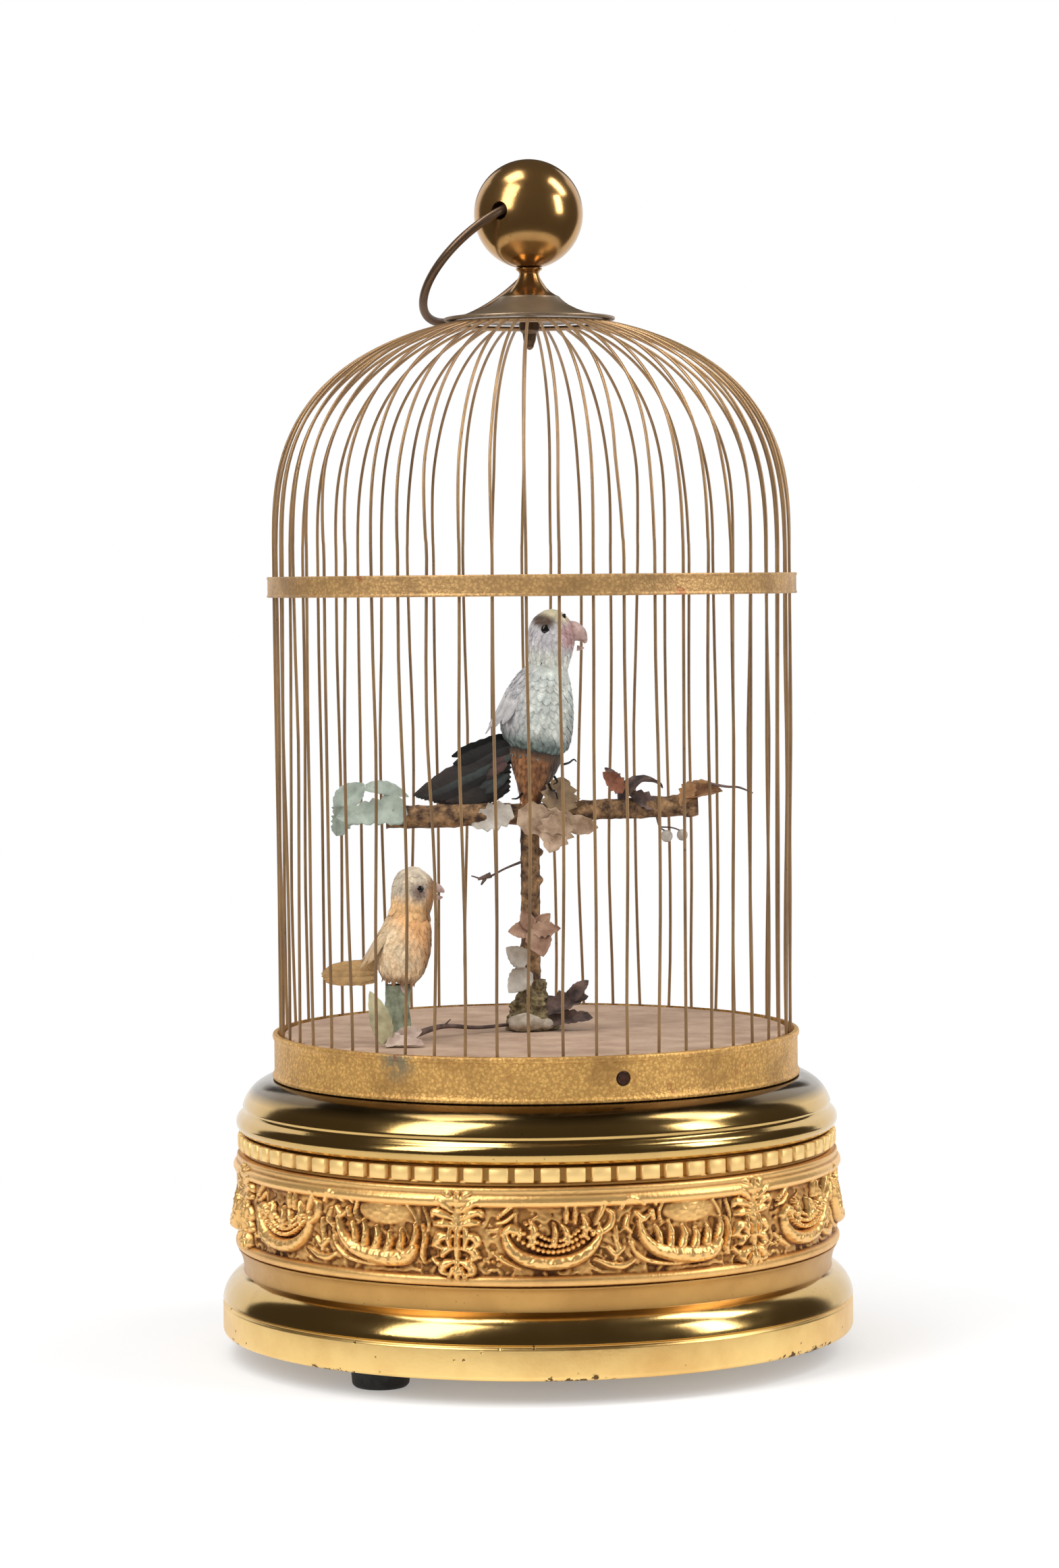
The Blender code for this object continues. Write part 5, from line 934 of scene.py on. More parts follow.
def build_cage():
    """Bent wires between two hoops, each with a slight sway where nothing holds it."""
    line = wire_line()
    verts, faces = [], []
    for i in range(WIRES):
        a = FIRST_WIRE + 2 * pi * i / WIRES
        out, side = Vector((cos(a), sin(a), 0.0)), Vector((-sin(a), cos(a), 0.0))
        path = []
        for radius, height in line:
            rise = (height - WIRE_FOOT) / WIRE_RISE
            free = min(rise * 6.0, 1.0) * min((1.0 - rise) * 5.0, 1.0)
            free *= min(abs(height - BAND_HEIGHT) / 30.0, 1.0)
            sway = field.noise(Vector((i * 7.3, height * 0.012, 1.7))) * 2.4 * free
            push = field.noise(Vector((i * 3.1, height * 0.016, 9.2))) * 0.7 * free
            path.append(out * (radius + push) + side * sway + Vector((0.0, 0.0, height)))
        tube_mesh(smooth_path(path, 2), [WIRE_RADIUS] * (2 * len(path) - 1), 10, verts, faces)
    for radius, height, thick, wide in (FOOT_HOOP, CROWN_RING):
        def place(c, s, d, t):
            reach = radius + wide * d
            return Vector((reach * c, reach * s, height + thick * t))

        hoop(place, 160, 10, verts, faces)
    seat(add_solid("cage_bars", verts, faces, WIRE_GILT), "cage_wires")

    band = [(63.5, 184.2), (64.2, 184.2, 0.1), (64.45, 184.5, 0.15), (64.2, 184.95, 0.1), (64.2, 188.45, 0.1)]
    band += [(64.45, 188.9, 0.15), (64.2, 189.2, 0.1), (63.5, 189.2)]
    seat(lathe("band_turned", rounded(band), BAND_BRASS, 256), "mid_band")


def build_cap():
    cap = [(0.0, 250.78), (20.6, 250.78, 0.1), (20.8, 251.1, 0.15), (20.7, 251.45, 0.15), (20.2, 251.6, 0.1)]
    cap += [(17.5, 251.95), (14.0, 252.6), (11.6, 253.5), (9.6, 254.5), (8.5, 255.3), (7.6, 256.1, 0.2)]
    cap += [(7.3, 256.5, 0.1), (6.4, 256.9), (5.2, 257.7), (4.2, 258.7), (3.3, 260.0), (2.6, 261.2)]
    cap += [(2.35, 262.0), (2.6, 262.6), (3.1, 263.0, 0.1), (3.3, 263.4, 0.1), (0.0, 263.4)]

    def neck_zone(r, z):
        return 1 if z > 256.6 else 0

    cap = rounded(cap, closed=False)
    made = lathe("cap_turned", cap, [CAP_BRASS, BALL_BRASS], 128, False, zone=neck_zone)
    seat(made, "cap_flange")


def build_finial():
    """Hollow ball, drilled along the ring's axis, and the ring that droops from it."""
    centre = Vector((0.0, 0.0, BALL_HEIGHT))
    along = Vector((sin(RING_TURN), cos(RING_TURN), 0.0))

    def sphere(name, radius, steps, surface, segments):
        line = arc((0.0, 0.0), radius, -90.0, 90.0, steps)
        return lathe(name, line, surface, segments, False, centre * MM)

    ball = sphere("ball_turned", BALL_RADIUS, 60, BALL_BRASS, 128)
    take_out(ball, sphere("ball_core", CORE_RADIUS, 30, BRONZE, 64))
    drill(ball, centre - along * 16.0, centre + along * 16.0, RING_HOLE)
    seat(ball, "finial_ball")

    level = Vector((-cos(RING_TURN), sin(RING_TURN), 0.0))
    down = level * cos(RING_DROOP) - Vector((0.0, 0.0, sin(RING_DROOP)))
    middle = centre + down * sqrt(RING_RADIUS ** 2 - RING_OFF_BALL ** 2)
    normal = along.cross(down)

    def place(c, s, d, t):
        out = along * c + down * s
        return middle + out * RING_RADIUS + (out * d + normal * t) * RING_WIRE

    verts, faces = [], []
    hoop(place, 120, 16, verts, faces)
    seat(add_solid("ring_wire", verts, faces, BRONZE), "hanging_ring", "ring")


def build_nut():
    nut = [(0.0, 250.48), (2.3, 250.48, 0.2), (2.5, 250.0, 0.3), (2.5, 248.4, 0.3), (1.7, 247.6, 0.2)]
    nut += [(1.5, 246.0, 0.3), (1.1, 244.9, 0.2), (0.9, 244.2, 0.3), (0.4, 243.75, 0.1), (0.0, 243.68)]
    made = lathe("nut_turned", rounded(nut, closed=False), BRONZE, 48, False)
    seat(made, "pendant_nut")


# Perch

UPPER_ROOT = (-1.0, 0.0, 133.2)
LOWER_ROOT = (-32.7, -28.0, 92.1)
FLOOR_TOP, SLEEVE_FOOT = 78.3, 78.5
TUBE_BORE = 1.45


def sleeve(name, centre, bore, low, high, reach, surface, rows, sides):
    """Tube round an upright bore, with reach(angle, height) as its outer radius."""
    verts = []
    levels = [(low + (high - low) * k / rows, reach) for k in range(rows + 1)]
    for z, radius in levels + [(high, lambda a, z: bore), (low, lambda a, z: bore)]:
        for i in range(sides):
            a = 2 * pi * i / sides
            r = radius(a, z)
            verts.append(((centre[0] + r * cos(a)) * MM, (centre[1] + r * sin(a)) * MM, z * MM))
    return add_solid(name, verts, weave(0, rows + 3, sides, round_rows=True), surface, 60.0)


def wrap_ridge(share, a, seed):
    """Raised spiral edge of wound paper, in millimetres."""
    phase = (share + a / (2 * pi)) % 1.0
    rough = field.noise(Vector((share * 2.0, cos(a) + seed, sin(a))))
    return 0.20 * max(0.0, 1.0 - phase * 3.0) + 0.12 * rough


def bough(name, node, path, radii, seed, knots):
    """Wrapped stick along a path, with the paper's spiral edge and knots (share, angle, size)."""
    line = smooth_path(path, 14)
    length = [0.0]
    for a, b in zip(line, line[1:]):
        length.append(length[-1] + (b - a).length)

    def bumpy(i, a):
        r = wrap_ridge(length[i] / 5.5, a, seed) * 1.1
        r += 0.16 * field.noise(Vector((length[i] * 0.5, cos(a) * 1.6 + seed, sin(a) * 1.6)))
        for share, side, size in knots:
            near = ((length[i] / length[-1] - share) * 22.0) ** 2 + (sin((a - side) / 2) * 2.4) ** 2
            r += size * max(0.0, 1.0 - near)
        return r

    verts, faces = [], []
    tube_mesh(line, drawn_out(radii, len(line)), 26, verts, faces, bumpy)
    seat(add_solid(name, verts, faces, BARK, 60.0), node)


def leaf_edge(kind, t, phase):
    """Share of the full width that a leaf of this kind has at t along it."""
    if kind == "oval":
        return 1.0 + 0.05 * sin(t * 37.0 + phase)
    if kind == "ivy":
        return 0.72 + 0.42 * max(0.0, sin(t * 2.6 * pi + 0.5)) ** 1.5 + 0.10 * sin(t * 41.0 + phase)
    return 0.75 + 0.30 * abs(((t * 4.5) % 1.0) - 0.5) * 2.0


def leaf_points(length, width, kind, bend, cup, seed):
    """Thin closed leaf in its own frame: along +X, across Y, its face +Z. In millimetres."""
    rows, across, thick = 18, 10, 0.14
    phase = random.Random(seed).uniform(0.0, 6.0)
    verts = [[], []]
    for i in range(rows + 1):
        t = i / rows
        half = sin(pi * min(1.0, 0.06 + 0.94 * t) ** 0.8) ** 0.75
        half = max(0.02, half * leaf_edge(kind, t, phase)) * width / 2
        turn = bend * t
        up = Vector((-sin(turn), 0.0, cos(turn)))
        for k in range(across + 1):
            v = 2.0 * k / across - 1.0
            crease = field.noise(Vector((t * 3.0 + seed, v * 1.4, phase)))
            lift = cup * (v * v) * half + 0.21 * crease * half - 0.10 * max(0.0, 1.0 - abs(v) * 9.0)
            point = Vector((length * sin(turn) / bend, v * half, length * (1.0 - cos(turn)) / bend))
            for layer, side in enumerate((0.5, -0.5)):
                verts[layer].append(point + up * (lift + side * thick))
    wide = across + 1
    below = len(verts[0])
    top = weave(0, rows + 1, wide, False, False)
    faces = top + [tuple(below + v for v in (a, d, c, b)) for a, b, c, d in top]
    edges = [(i * wide + k, (i + 1) * wide + k) for i in range(rows) for k in (0, across)]
    edges += [(a, a + 1) for k in range(across) for a in (k, rows * wide + k)]
    faces += [(a, b, below + b, below + a) for a, b in edges]
    return verts[0] + verts[1], faces


def put_leaves(name, node, surface, slot, *leaves):
    """One piece of several leaves: (start, towards, face, length, width, kind, bend, cup)."""
    verts, faces = [], []
    for n, (start, towards, facing, length, width, kind, bend, cup) in enumerate(leaves):
        along, side, up = blade_frame(towards, facing)
        points, quads = leaf_points(length, width, kind, bend, cup, sum(map(ord, name)) + 11 * n)
        base = len(verts)
        verts += [(Vector(start) + along * q[0] + side * q[1] + up * q[2]) * MM for q in points]
        faces += [tuple(base + k for k in quad) for quad in quads]
    seat(add_solid(name, verts, faces, surface, 70.0), node)


def blade_frame(towards, facing):
    """Unit vectors along, across and up from the face of a leaf or a feather."""
    along = Vector(towards).normalized()
    up = Vector(facing)
    up = (up - along * up.dot(along)).normalized()
    return along, up.cross(along), up


def put_twigs(name, twigs, berries=()):
    """Thin wires (points, radii) and small round berries (centre, radius) on them."""
    verts, faces = [], []
    for points, radii in twigs:
        line = smooth_path(points, 6)
        tube_mesh(line, drawn_out(radii, len(line)), 8, verts, faces)
    pick = [0] * len(faces)
    rows, across = 9, 14
    for centre, radius in berries:
        faces += tube_faces(len(verts), rows, across)
        for n, out in enumerate(globe(rows, across)):
            swell = radius * (1.0 + 0.05 * cos(2 * pi * (n % across) / across * 5))
            verts.append((Vector(centre) + out * swell) * MM)
    pick += [1] * (len(faces) - len(pick))
    surfaces = [DARK_LEAF, PALE_LEAF if berries else DARK_LEAF]
    seat(add_solid(name, verts, faces, surfaces, 60.0, pick))


def build_pebbles():
    verts, faces = [], []
    rows, across = 13, 22
    large, small = ((-2.6, -5.6, 80.4), (4.4, 2.8, 2.2), 1.0), ((2.0, -4.6, 79.9), (2.6, 2.0, 1.5), 5.0)
    for centre, size, seed in (large, small):
        faces += tube_faces(len(verts), rows, across)
        for out in globe(rows, across):
            swell = 1.0 + 0.16 * field.noise(out * 1.6 + Vector((seed, 0, 0)))
            at = out * Vector(size) * swell + Vector(centre)
            verts.append(Vector((at[0], at[1], max(at[2], FLOOR_TOP))) * MM)
    seat(add_solid("pebbles", verts, faces, PEBBLE, 80.0))


def build_perch():
    knots = ((121.5, 0.1, 0.9), (114.8, 0.0, 0.9), (98.0, 2.9, 0.6), (88.5, 0.4, 0.7), (90.0, 5.2, 0.6))

    def post_reach(a, z):
        r = 2.3 + wrap_ridge(z / 4.2, a, 0.0) * 0.9
        for spot, side, size in knots:
            r += size * max(0.0, 1.0 - ((z - spot) / 1.1) ** 2 - (sin((a - side) / 2) * 2.2) ** 2)
        return r

    def lumps(a, z, fine, tall):
        return field.noise(Vector((cos(a) * fine, sin(a) * fine, z * tall)))

    def mound_reach(a, z):
        share = (z - SLEEVE_FOOT) / 12.4
        r = 3.0 + 3.6 * (1.0 - share) ** 1.4 + 1.3 * lumps(a, z, 2.0, 0.35)
        return max(2.5, r + 0.9 * lumps(a, z, 6.0, 1.2))

    def stem_reach(a, z):
        return 2.75 + 0.35 * cos(a * 5.0 + z * 0.25) + 0.35 * lumps(a, z, 3.0, 0.4)

    made = sleeve("post_wrapped", UPPER_ROOT, TUBE_BORE, 78.6, UPPER_ROOT[2], post_reach, BARK, 150, 36)
    seat(made, "center_post")
    bough("bough_left", "branch_left", [(-3.0, 0, 130.9), (-12, 0, 131.0), (-24, 0, 130.5), (-36, 0, 130.6)],
          (2.5, 2.7, 2.8, 2.8), 3.0, ((0.45, 4.2, 0.5), (0.8, 5.0, 0.6), (0.97, 2.0, 0.5)))
    bough("bough_right", "branch_right", [(1.0, 0, 131.0), (12, 0, 131.7), (26, 0, 132.2), (40, 0, 132.8)],
          (2.4, 2.3, 2.5, 2.6), 8.0, ((0.35, 4.8, 0.7), (0.62, 4.2, 0.6), (0.8, 1.6, 0.7), (0.95, 2.4, 0.6)))
    made = sleeve("mound_moss", UPPER_ROOT, 2.35, SLEEVE_FOOT, 90.4, mound_reach, MOSS, 44, 60)
    seat(made, "post_mound")
    build_pebbles()
    top = LOWER_ROOT[2]
    made = sleeve("stem_wrapped", LOWER_ROOT, TUBE_BORE, SLEEVE_FOOT, top, stem_reach, STEM_GREEN, 40, 40)
    seat(made, "lower_stem")


def build_leaves():
    put_leaves("leaves_left", "leaf_left_end", GREY_GREEN, "leaf_grey_green",
        ((-31.0, -2.4, 132.6), (-1, -0.1, -0.18), (0.1, -0.9, 0.4), 17.8, 9.4, "ivy", 0.4, 0.3),
        ((-47.6, -1.8, 132.4), (0.62, -0.1, 0.8), (-0.3, -1, 0.1), 9.6, 6.4, "oval", -0.9, 0.3),
        ((-41.0, -1.4, 137.6), (1, 0.0, -0.02), (0.0, -0.7, 0.8), 11.0, 4.6, "oval", -0.5, 0.3),
        ((-45.4, -2.9, 133.0), (-0.4, 0.0, -1), (0.1, -1, 0.1), 7.4, 7.4, "ivy", 0.3, 0.3))
    put_leaves("leaf_pale_left", None, PALE_LEAF, "leaf_grey_green",
        ((-5.2, -3.1, 131.8), (-1, -0.1, -0.3), (0.0, -1, 0.2), 10.8, 7.2, "serrated", -0.5, 0.3))
    put_leaves("leaves_drooping", "leaf_drooping", TAN_LEAF, "leaf_brown",
        ((-4.0, -3.2, 130.4), (1, -0.05, -0.13), (0.1, -1, 0.1), 20.0, 8.8, "ivy", -0.3, 0.25),
        ((6.2, -3.0, 130.4), (-0.3, -0.1, -1), (0.1, -1, 0.1), 9.4, 9.2, "serrated", 0.35, 0.25))
    put_leaves("leaf_upright", None, LOBE_LEAF, "leaf_brown",
        ((5.6, -2.9, 131.4), (0.18, 0.05, 1), (0.1, -1, 0.1), 9.0, 9.6, "serrated", -0.4, 0.3))
    put_leaves("leaf_curled_up", None, RED_LEAF, "leaf_brown",
        ((22.0, -1.6, 136.6), (-0.85, -0.1, 0.5), (0.2, -1, 0.3), 8.6, 5.0, "serrated", 1.0, 0.5))
    put_leaves("leaf_arch", None, DARK_LEAF, "leaf_dark",
        ((20.6, -1.4, 136.0), (-0.25, 0.0, 1), (0.6, -1, 0.1), 7.6, 3.4, "oval", -0.9, 0.5),
        ((21.8, -1.6, 133.0), (0.15, -0.1, 1), (-1, -0.6, 0.2), 14.5, 5.6, "oval", -2.3, 0.4),
        ((29.8, -1.8, 132.2), (-0.7, -0.1, 0.5), (0.2, -1, 0.3), 8.0, 4.4, "serrated", -0.6, 0.4))
    put_leaves("leaves_right", "leaf_right_end", BROWN_LEAF, "leaf_brown",
        ((36.8, -0.8, 134.4), (1, -0.1, 0.42), (-0.4, -0.8, 0.8), 9.6, 5.4, "oval", -0.6, 0.7),
        ((38.6, -1.4, 138.2), (-0.45, -0.1, -1), (-0.2, -1, 0.2), 6.6, 4.4, "serrated", 0.4, 0.5))
    put_leaves("leaves_star", None, PINK_LEAF, "leaf_brown",
        ((-0.4, -2.5, 103.2), (-1, -0.15, -0.12), (0, -1, 0.1), 6.6, 4.4, "oval", 0.4, 0.3),
        ((-0.8, -2.7, 103.0), (-0.45, -0.1, 0.9), (0, -1, 0.1), 5.6, 3.8, "oval", 0.4, 0.3),
        ((-0.6, -2.8, 102.8), (1, -0.1, 0.05), (0, -1, 0.1), 7.4, 4.2, "serrated", 0.5, 0.3),
        ((0.2, -2.6, 103.2), (0.75, -0.1, 0.75), (0, -1, 0.1), 5.4, 3.6, "oval", 0.4, 0.3),
        ((0.2, -2.7, 103.4), (0.25, -0.1, -1), (0, -1, 0.1), 7.6, 6.4, "oval", 0.4, 0.3))
    put_leaves("leaves_pale", None, PALE_LEAF, "leaf_grey_green",
        ((-2.0, -2.6, 94.6), (-0.8, -0.1, 0.6), (0, -1, 0.2), 7.0, 5.2, "oval", 0.5, 0.35),
        ((-1.6, -2.8, 93.0), (-0.7, -0.1, -0.8), (0, -1, 0.2), 7.6, 6.0, "oval", 0.4, 0.35))
    put_leaves("leaves_floor", "leaf_floor", DARK_LEAF, "leaf_dark",
        ((2.6, -3.4, 82.5), (1, 0.1, 0.55), (-0.4, -0.8, 0.5), 11.5, 6.4, "serrated", -0.5, 0.5),
        ((3.0, -3.8, 80.4), (1, -0.1, 0.18), (-0.2, -0.8, 0.7), 11.0, 6.0, "ivy", -0.3, 0.5),
        ((9.0, -2.4, 85.4), (0.55, 0, 0.9), (-0.6, -0.9, 0.2), 6.4, 4.0, "oval", -0.5, 0.4))
    put_leaves("leaf_front_tall", "leaf_front", OLIVE_LEAF, "leaf_olive",
        ((-35.6, -35.4, 78.8), (-0.22, -0.1, 1), (0.5, -1, -0.1), 13.0, 5.4, "oval", -0.3, 0.35))
    put_leaves("leaf_front_flat", None, FLOOR_LEAF, "leaf_olive",
        ((-35.4, -36.2, 79.0), (1, -0.35, 0.06), (0.1, -0.5, 1), 9.5, 6.4, "ivy", -0.2, 0.3),
        ((-33.0, -33.4, 79.6), (0.9, 0.1, 0.35), (0.1, -0.8, 0.6), 6.5, 4.2, "oval", -0.3, 0.3))


def build_twigs():
    fork = (30.6, -2.4, 127.6)
    put_twigs("berries_right", (
        ([(29.9, -1.8, 130.0), fork, (32.0, -2.6, 126.6)], (0.28, 0.2, 0.18)),
        ([fork, (33.6, -2.4, 127.4), (35.8, -2.2, 126.6)], (0.2, 0.18, 0.18))),
        (((32.2, -2.6, 125.4), 1.45), ((36.0, -2.2, 125.6), 1.35)))
    put_twigs("twigs_dark", (
        ([(-2.4, -1.2, 119.6), (-7.0, -1.6, 117.8), (-12.0, -1.4, 115.4), (-15.4, -1.4, 116.0)],
         (0.35, 0.25, 0.25, 0.15)),
        ([(-12.0, -1.4, 115.4), (-13.0, -1.6, 113.8)], (0.5, 0.2)),
        ([(-10.6, -1.4, 116.2), (-13.8, -1.8, 115.2)], (0.75, 0.3)),
        ([(42.6, -0.6, 138.0), (47.0, -0.6, 137.2), (50.0, -0.8, 137.0), (53.4, -0.8, 135.6)],
         (0.4, 0.3, 0.26, 0.18)),
        ([(-29.6, -25.6, 79.6), (-22.4, -16.0, 80.8), (-14.0, -8.0, 79.6), (-5.0, -4.2, 80.0)],
         (0.85, 0.6, 0.45, 0.4)),
        ([(-22.4, -16.0, 80.6), (-20.5, -15.0, 82.4)], (0.3, 0.12))))


# Birds

UPPER_FRAME = Matrix.Translation(UPPER_ROOT) @ Matrix.Rotation(radians(10.5), 4, "Y")
LOWER_FRAME = Matrix.Translation(LOWER_ROOT) @ Matrix.Rotation(radians(9.7), 4, "Y")
BLACK, BROWN, SLATE = (0.010, 0.009, 0.0085), (0.045, 0.028, 0.022), (0.075, 0.10, 0.092)
DARK_WING = ((0.56, 0.54, 0.53), (0.30, 0.29, 0.29))
PEACH_WING = ((0.62, 0.46, 0.28), (0.40, 0.25, 0.12))


def blended(low, high, share):
    share = min(1.0, max(0.0, share))
    return tuple(a + (b - a) * share for a, b in zip(low, high))


def noisy(low, high, point, size, seed, sharp=3.0):
    """Mottled mix of two colours, by the place on the bird."""
    at = Vector((point[0] / size + seed, point[1] / size, point[2] / size))
    return blended(low, high, 0.5 + sharp * 0.5 * field.noise(at))


def spot(p, x, z, wide, tall, size):
    """Height of a soft round mark over a bird's side, above 0 inside it."""
    return size - sqrt(((p[0] - x) / wide) ** 2 + ((p[2] - z) / tall) ** 2)


class Plump:
    """Smooth body round a bird's axis, and its feathers. Stations are (height, radius, shift)."""

    def __init__(self, frame_at, stations=(), colour=None):
        line = smooth_path(stations, 8) if stations else []
        self.heights = [p[0] for p in line]
        self.radii = [max(0.3, p[1]) for p in line]
        self.shifts = [p[2] for p in line]
        self.frame = frame_at
        self.colour = colour
        self.verts, self.faces, self.colours = [], [], []

    def skin(self, angle, height, lift=0.0):
        r = float(np.interp(height, self.heights, self.radii)) + lift
        shift = float(np.interp(height, self.heights, self.shifts))
        return Vector((shift + r * cos(angle), r * sin(angle), height))

    def add(self, point, colour):
        self.verts.append((self.frame @ point) * MM)
        self.colours.append(colour)

    def body(self, sides=36):
        self.faces += tube_faces(len(self.verts), len(self.heights), sides)
        for z in self.heights:
            for k in range(sides):
                a = 2 * pi * k / sides
                point = self.skin(a, z, 0.10 * field.noise(Vector((cos(a) * 2.0, sin(a) * 2.0, z * 0.6))))
                self.add(point, self.colour(point))

    def feathers(self, low, high, step, size, dice, lift=0.28, droop=0.0):
        """Rows of small overlapping feathers from high down to low."""
        z = high
        row = 0
        while z > low:
            r = self.skin(0.0, z)[0] - float(np.interp(z, self.heights, self.shifts))
            count = max(5, int(2 * pi * r / (size[1] * 0.78)))
            for k in range(count):
                a = 2 * pi * (k + 0.5 * (row % 2) + dice.uniform(-0.18, 0.18)) / count
                length, width = size[0] * dice.uniform(0.8, 1.2), size[1] * dice.uniform(0.85, 1.15)
                top = z + dice.uniform(-0.25, 0.25)
                self.feather(a, top, length, width, dice.uniform(0.6, 1.2) * lift, droop, dice)
            z -= step
            row += 1

    def feather(self, angle, height, length, width, lift, droop, dice):
        self.faces += weave(len(self.verts), 5, 3, False, False)
        shade = dice.uniform(0.82, 1.12)
        away = self.skin(angle, height)
        reach = max(1.0, sqrt(away[0] ** 2 + away[1] ** 2))
        lean = dice.uniform(-0.12, 0.12)
        for t, half in ((0.0, 0.55), (0.35, 1.0), (0.7, 0.85), (0.92, 0.45), (1.0, 0.08)):
            for v in (-1.0, 0.0, 1.0):
                a = angle + (v * half * width * 0.5 + lean * length * t) / reach
                up = -0.05 + (lift + 0.06) * t ** 1.4 + (0.10 * (1.0 - v * v)) * half
                point = self.skin(a, height - length * t * (1.0 - droop * t), up)
                edge = shade * (0.84 if v else 1.06) * (1.0 if t else 0.88)
                self.add(point, scaled(self.colour(point), edge))

    def quill(self, start, towards, facing, length, width, bend, colours, jag=0.0, rows=12):
        """One long feather: a thin curved blade with a raised shaft and slanting barbs."""
        along, side, up = blade_frame(towards, facing)
        across = 6
        self.faces += weave(len(self.verts), rows + 1, across + 1, False, False)
        for i in range(rows + 1):
            t = i / rows
            half = width * 0.5 * min(1.0, 0.35 + 2.2 * t) * (1.0 - max(0.0, (t - 0.72) / 0.28) ** 2 * 0.85)
            half *= 1.0 + jag * (1 if i % 2 else -1)
            middle = Vector(start) + along * (length * t) + up * (bend * length * t * t * 0.5)
            for k in range(across + 1):
                v = 2.0 * k / across - 1.0
                rise = 0.14 * (1.0 - abs(v)) - 0.10 * v * v * half
                point = middle + side * (half * v) + along * (-0.35 * half * abs(v)) + up * rise
                self.add(point, blended(*colours, t * 0.7 + 0.3 * abs(v)))

    def wing(self, roots, lift, fall, share, width, bend, colours, rows, tip_up=0.0):
        """Long feathers down the back from (angle, height, length) roots."""
        for a, z, length in roots:
            out = Vector((cos(a), sin(a), tip_up))
            towards = (fall[0], fall[1] * sin(a), -1.0)
            self.quill(self.skin(a, z, lift), towards, out, length * share, width, bend, colours, 0.0, rows)

    def made(self, name, node, body, slot):
        piece = add_mesh(name, self.verts, self.faces, PLUMAGE, 75.0)
        paint(piece, self.colours)
        return seat(piece, node, body)


def put_eyes(name, frame_at, x, y, z, radius, parent):
    for side, away in (("right", -y), ("left", y)):
        verts = [(frame_at @ (Vector((x, away, z)) + out * Vector((1.0, 0.7, 1.0)) * radius)) * MM
                 for out in globe(9, 16)]
        carry(add_solid(name + side, verts, tube_faces(0, 9, 16), EYE), parent)


def beak(name, frame_at, points, radii, surface=HORN, flat=0.75):
    """Curved horn, narrowed across by flat."""
    verts, faces = [], []
    line = smooth_path(points, 6)
    tube_mesh(line, drawn_out(radii, len(line)), 18, verts, faces)
    verts = [(frame_at @ Vector((v[0] / MM, v[1] / MM * flat, v[2] / MM))) * MM for v in verts]
    return add_solid(name, verts, faces, surface)


def upper_coat(p):
    colour = noisy((0.62, 0.64, 0.58), (0.46, 0.50, 0.46), p, 2.2, 1.0)
    back = noisy((0.52, 0.49, 0.50), (0.33, 0.34, 0.34), p, 1.6, 4.0)
    colour = blended(colour, back, (-p[0] - 3.0) / 6.0 * 1.3)
    colour = blended(colour, (0.24, 0.25, 0.24), (p[0] - 4.6) / 2.4)
    teal = noisy((0.050, 0.080, 0.072), (0.17, 0.22, 0.20), p, 1.5, 6.0)
    colour = blended(colour, teal, (18.0 - p[2]) / 3.2)
    return blended(colour, (0.36, 0.38, 0.34), (p[2] - 32.4) / 1.8)


def upper_crown(p):
    colour = noisy((0.45, 0.42, 0.44), (0.55, 0.53, 0.53), p, 1.8, 2.0)
    colour = blended(colour, (0.50, 0.43, 0.28), (p[2] - 43.8) / 2.2)
    colour = blended(colour, (0.56, 0.56, 0.50), (39.0 - p[2]) / 3.0)
    mask = spot(p, 3.2, 42.6, 3.2, 3.6, 1.35)
    colour = blended(colour, noisy((0.36, 0.18, 0.16), (0.46, 0.30, 0.30), p, 1.2, 5.0), mask * 1.5)
    return blended(colour, (0.085, 0.05, 0.03), spot(p, -4.6, 44.6, 2.8, 1.6, 1.35) * 1.6)


def upper_trousers(p):
    colour = noisy((0.34, 0.14, 0.045), (0.17, 0.065, 0.022), p, 1.4, 3.0, 4.0)
    colour = blended(colour, (0.05, 0.028, 0.016), (p[0] - 1.2) / 3.0)
    return blended(colour, (0.05, 0.03, 0.018), (p[2] - 11.2) / 1.6)


def build_upper_body(dice):
    stations = ((13.3, 6.2, -0.8), (15.5, 8.1, -1.2), (20.0, 8.9, -1.9), (25.0, 8.5, -2.2), (30.0, 6.8, -2.0),
                (34.2, 4.7, -1.4))
    torso = Plump(UPPER_FRAME, stations, upper_coat)
    torso.body()
    torso.feathers(14.2, 33.4, 1.45, (3.2, 2.1), dice, droop=0.05)
    roots = [(side * a, z, length) for side in (1, -1)
             for a, z, length in ((2.3, 27.5, 11.0), (2.6, 26.5, 12.0), (2.9, 25.5, 12.5))]
    torso.wing(roots + [(3.14, 27.0, 11.5)], 0.2, (-0.24, 0.10), 0.86, 3.2, 0.10, DARK_WING, 12, 0.1)
    torso.made("upper_torso", "upper_bird_body", "base", "grey_plumage")


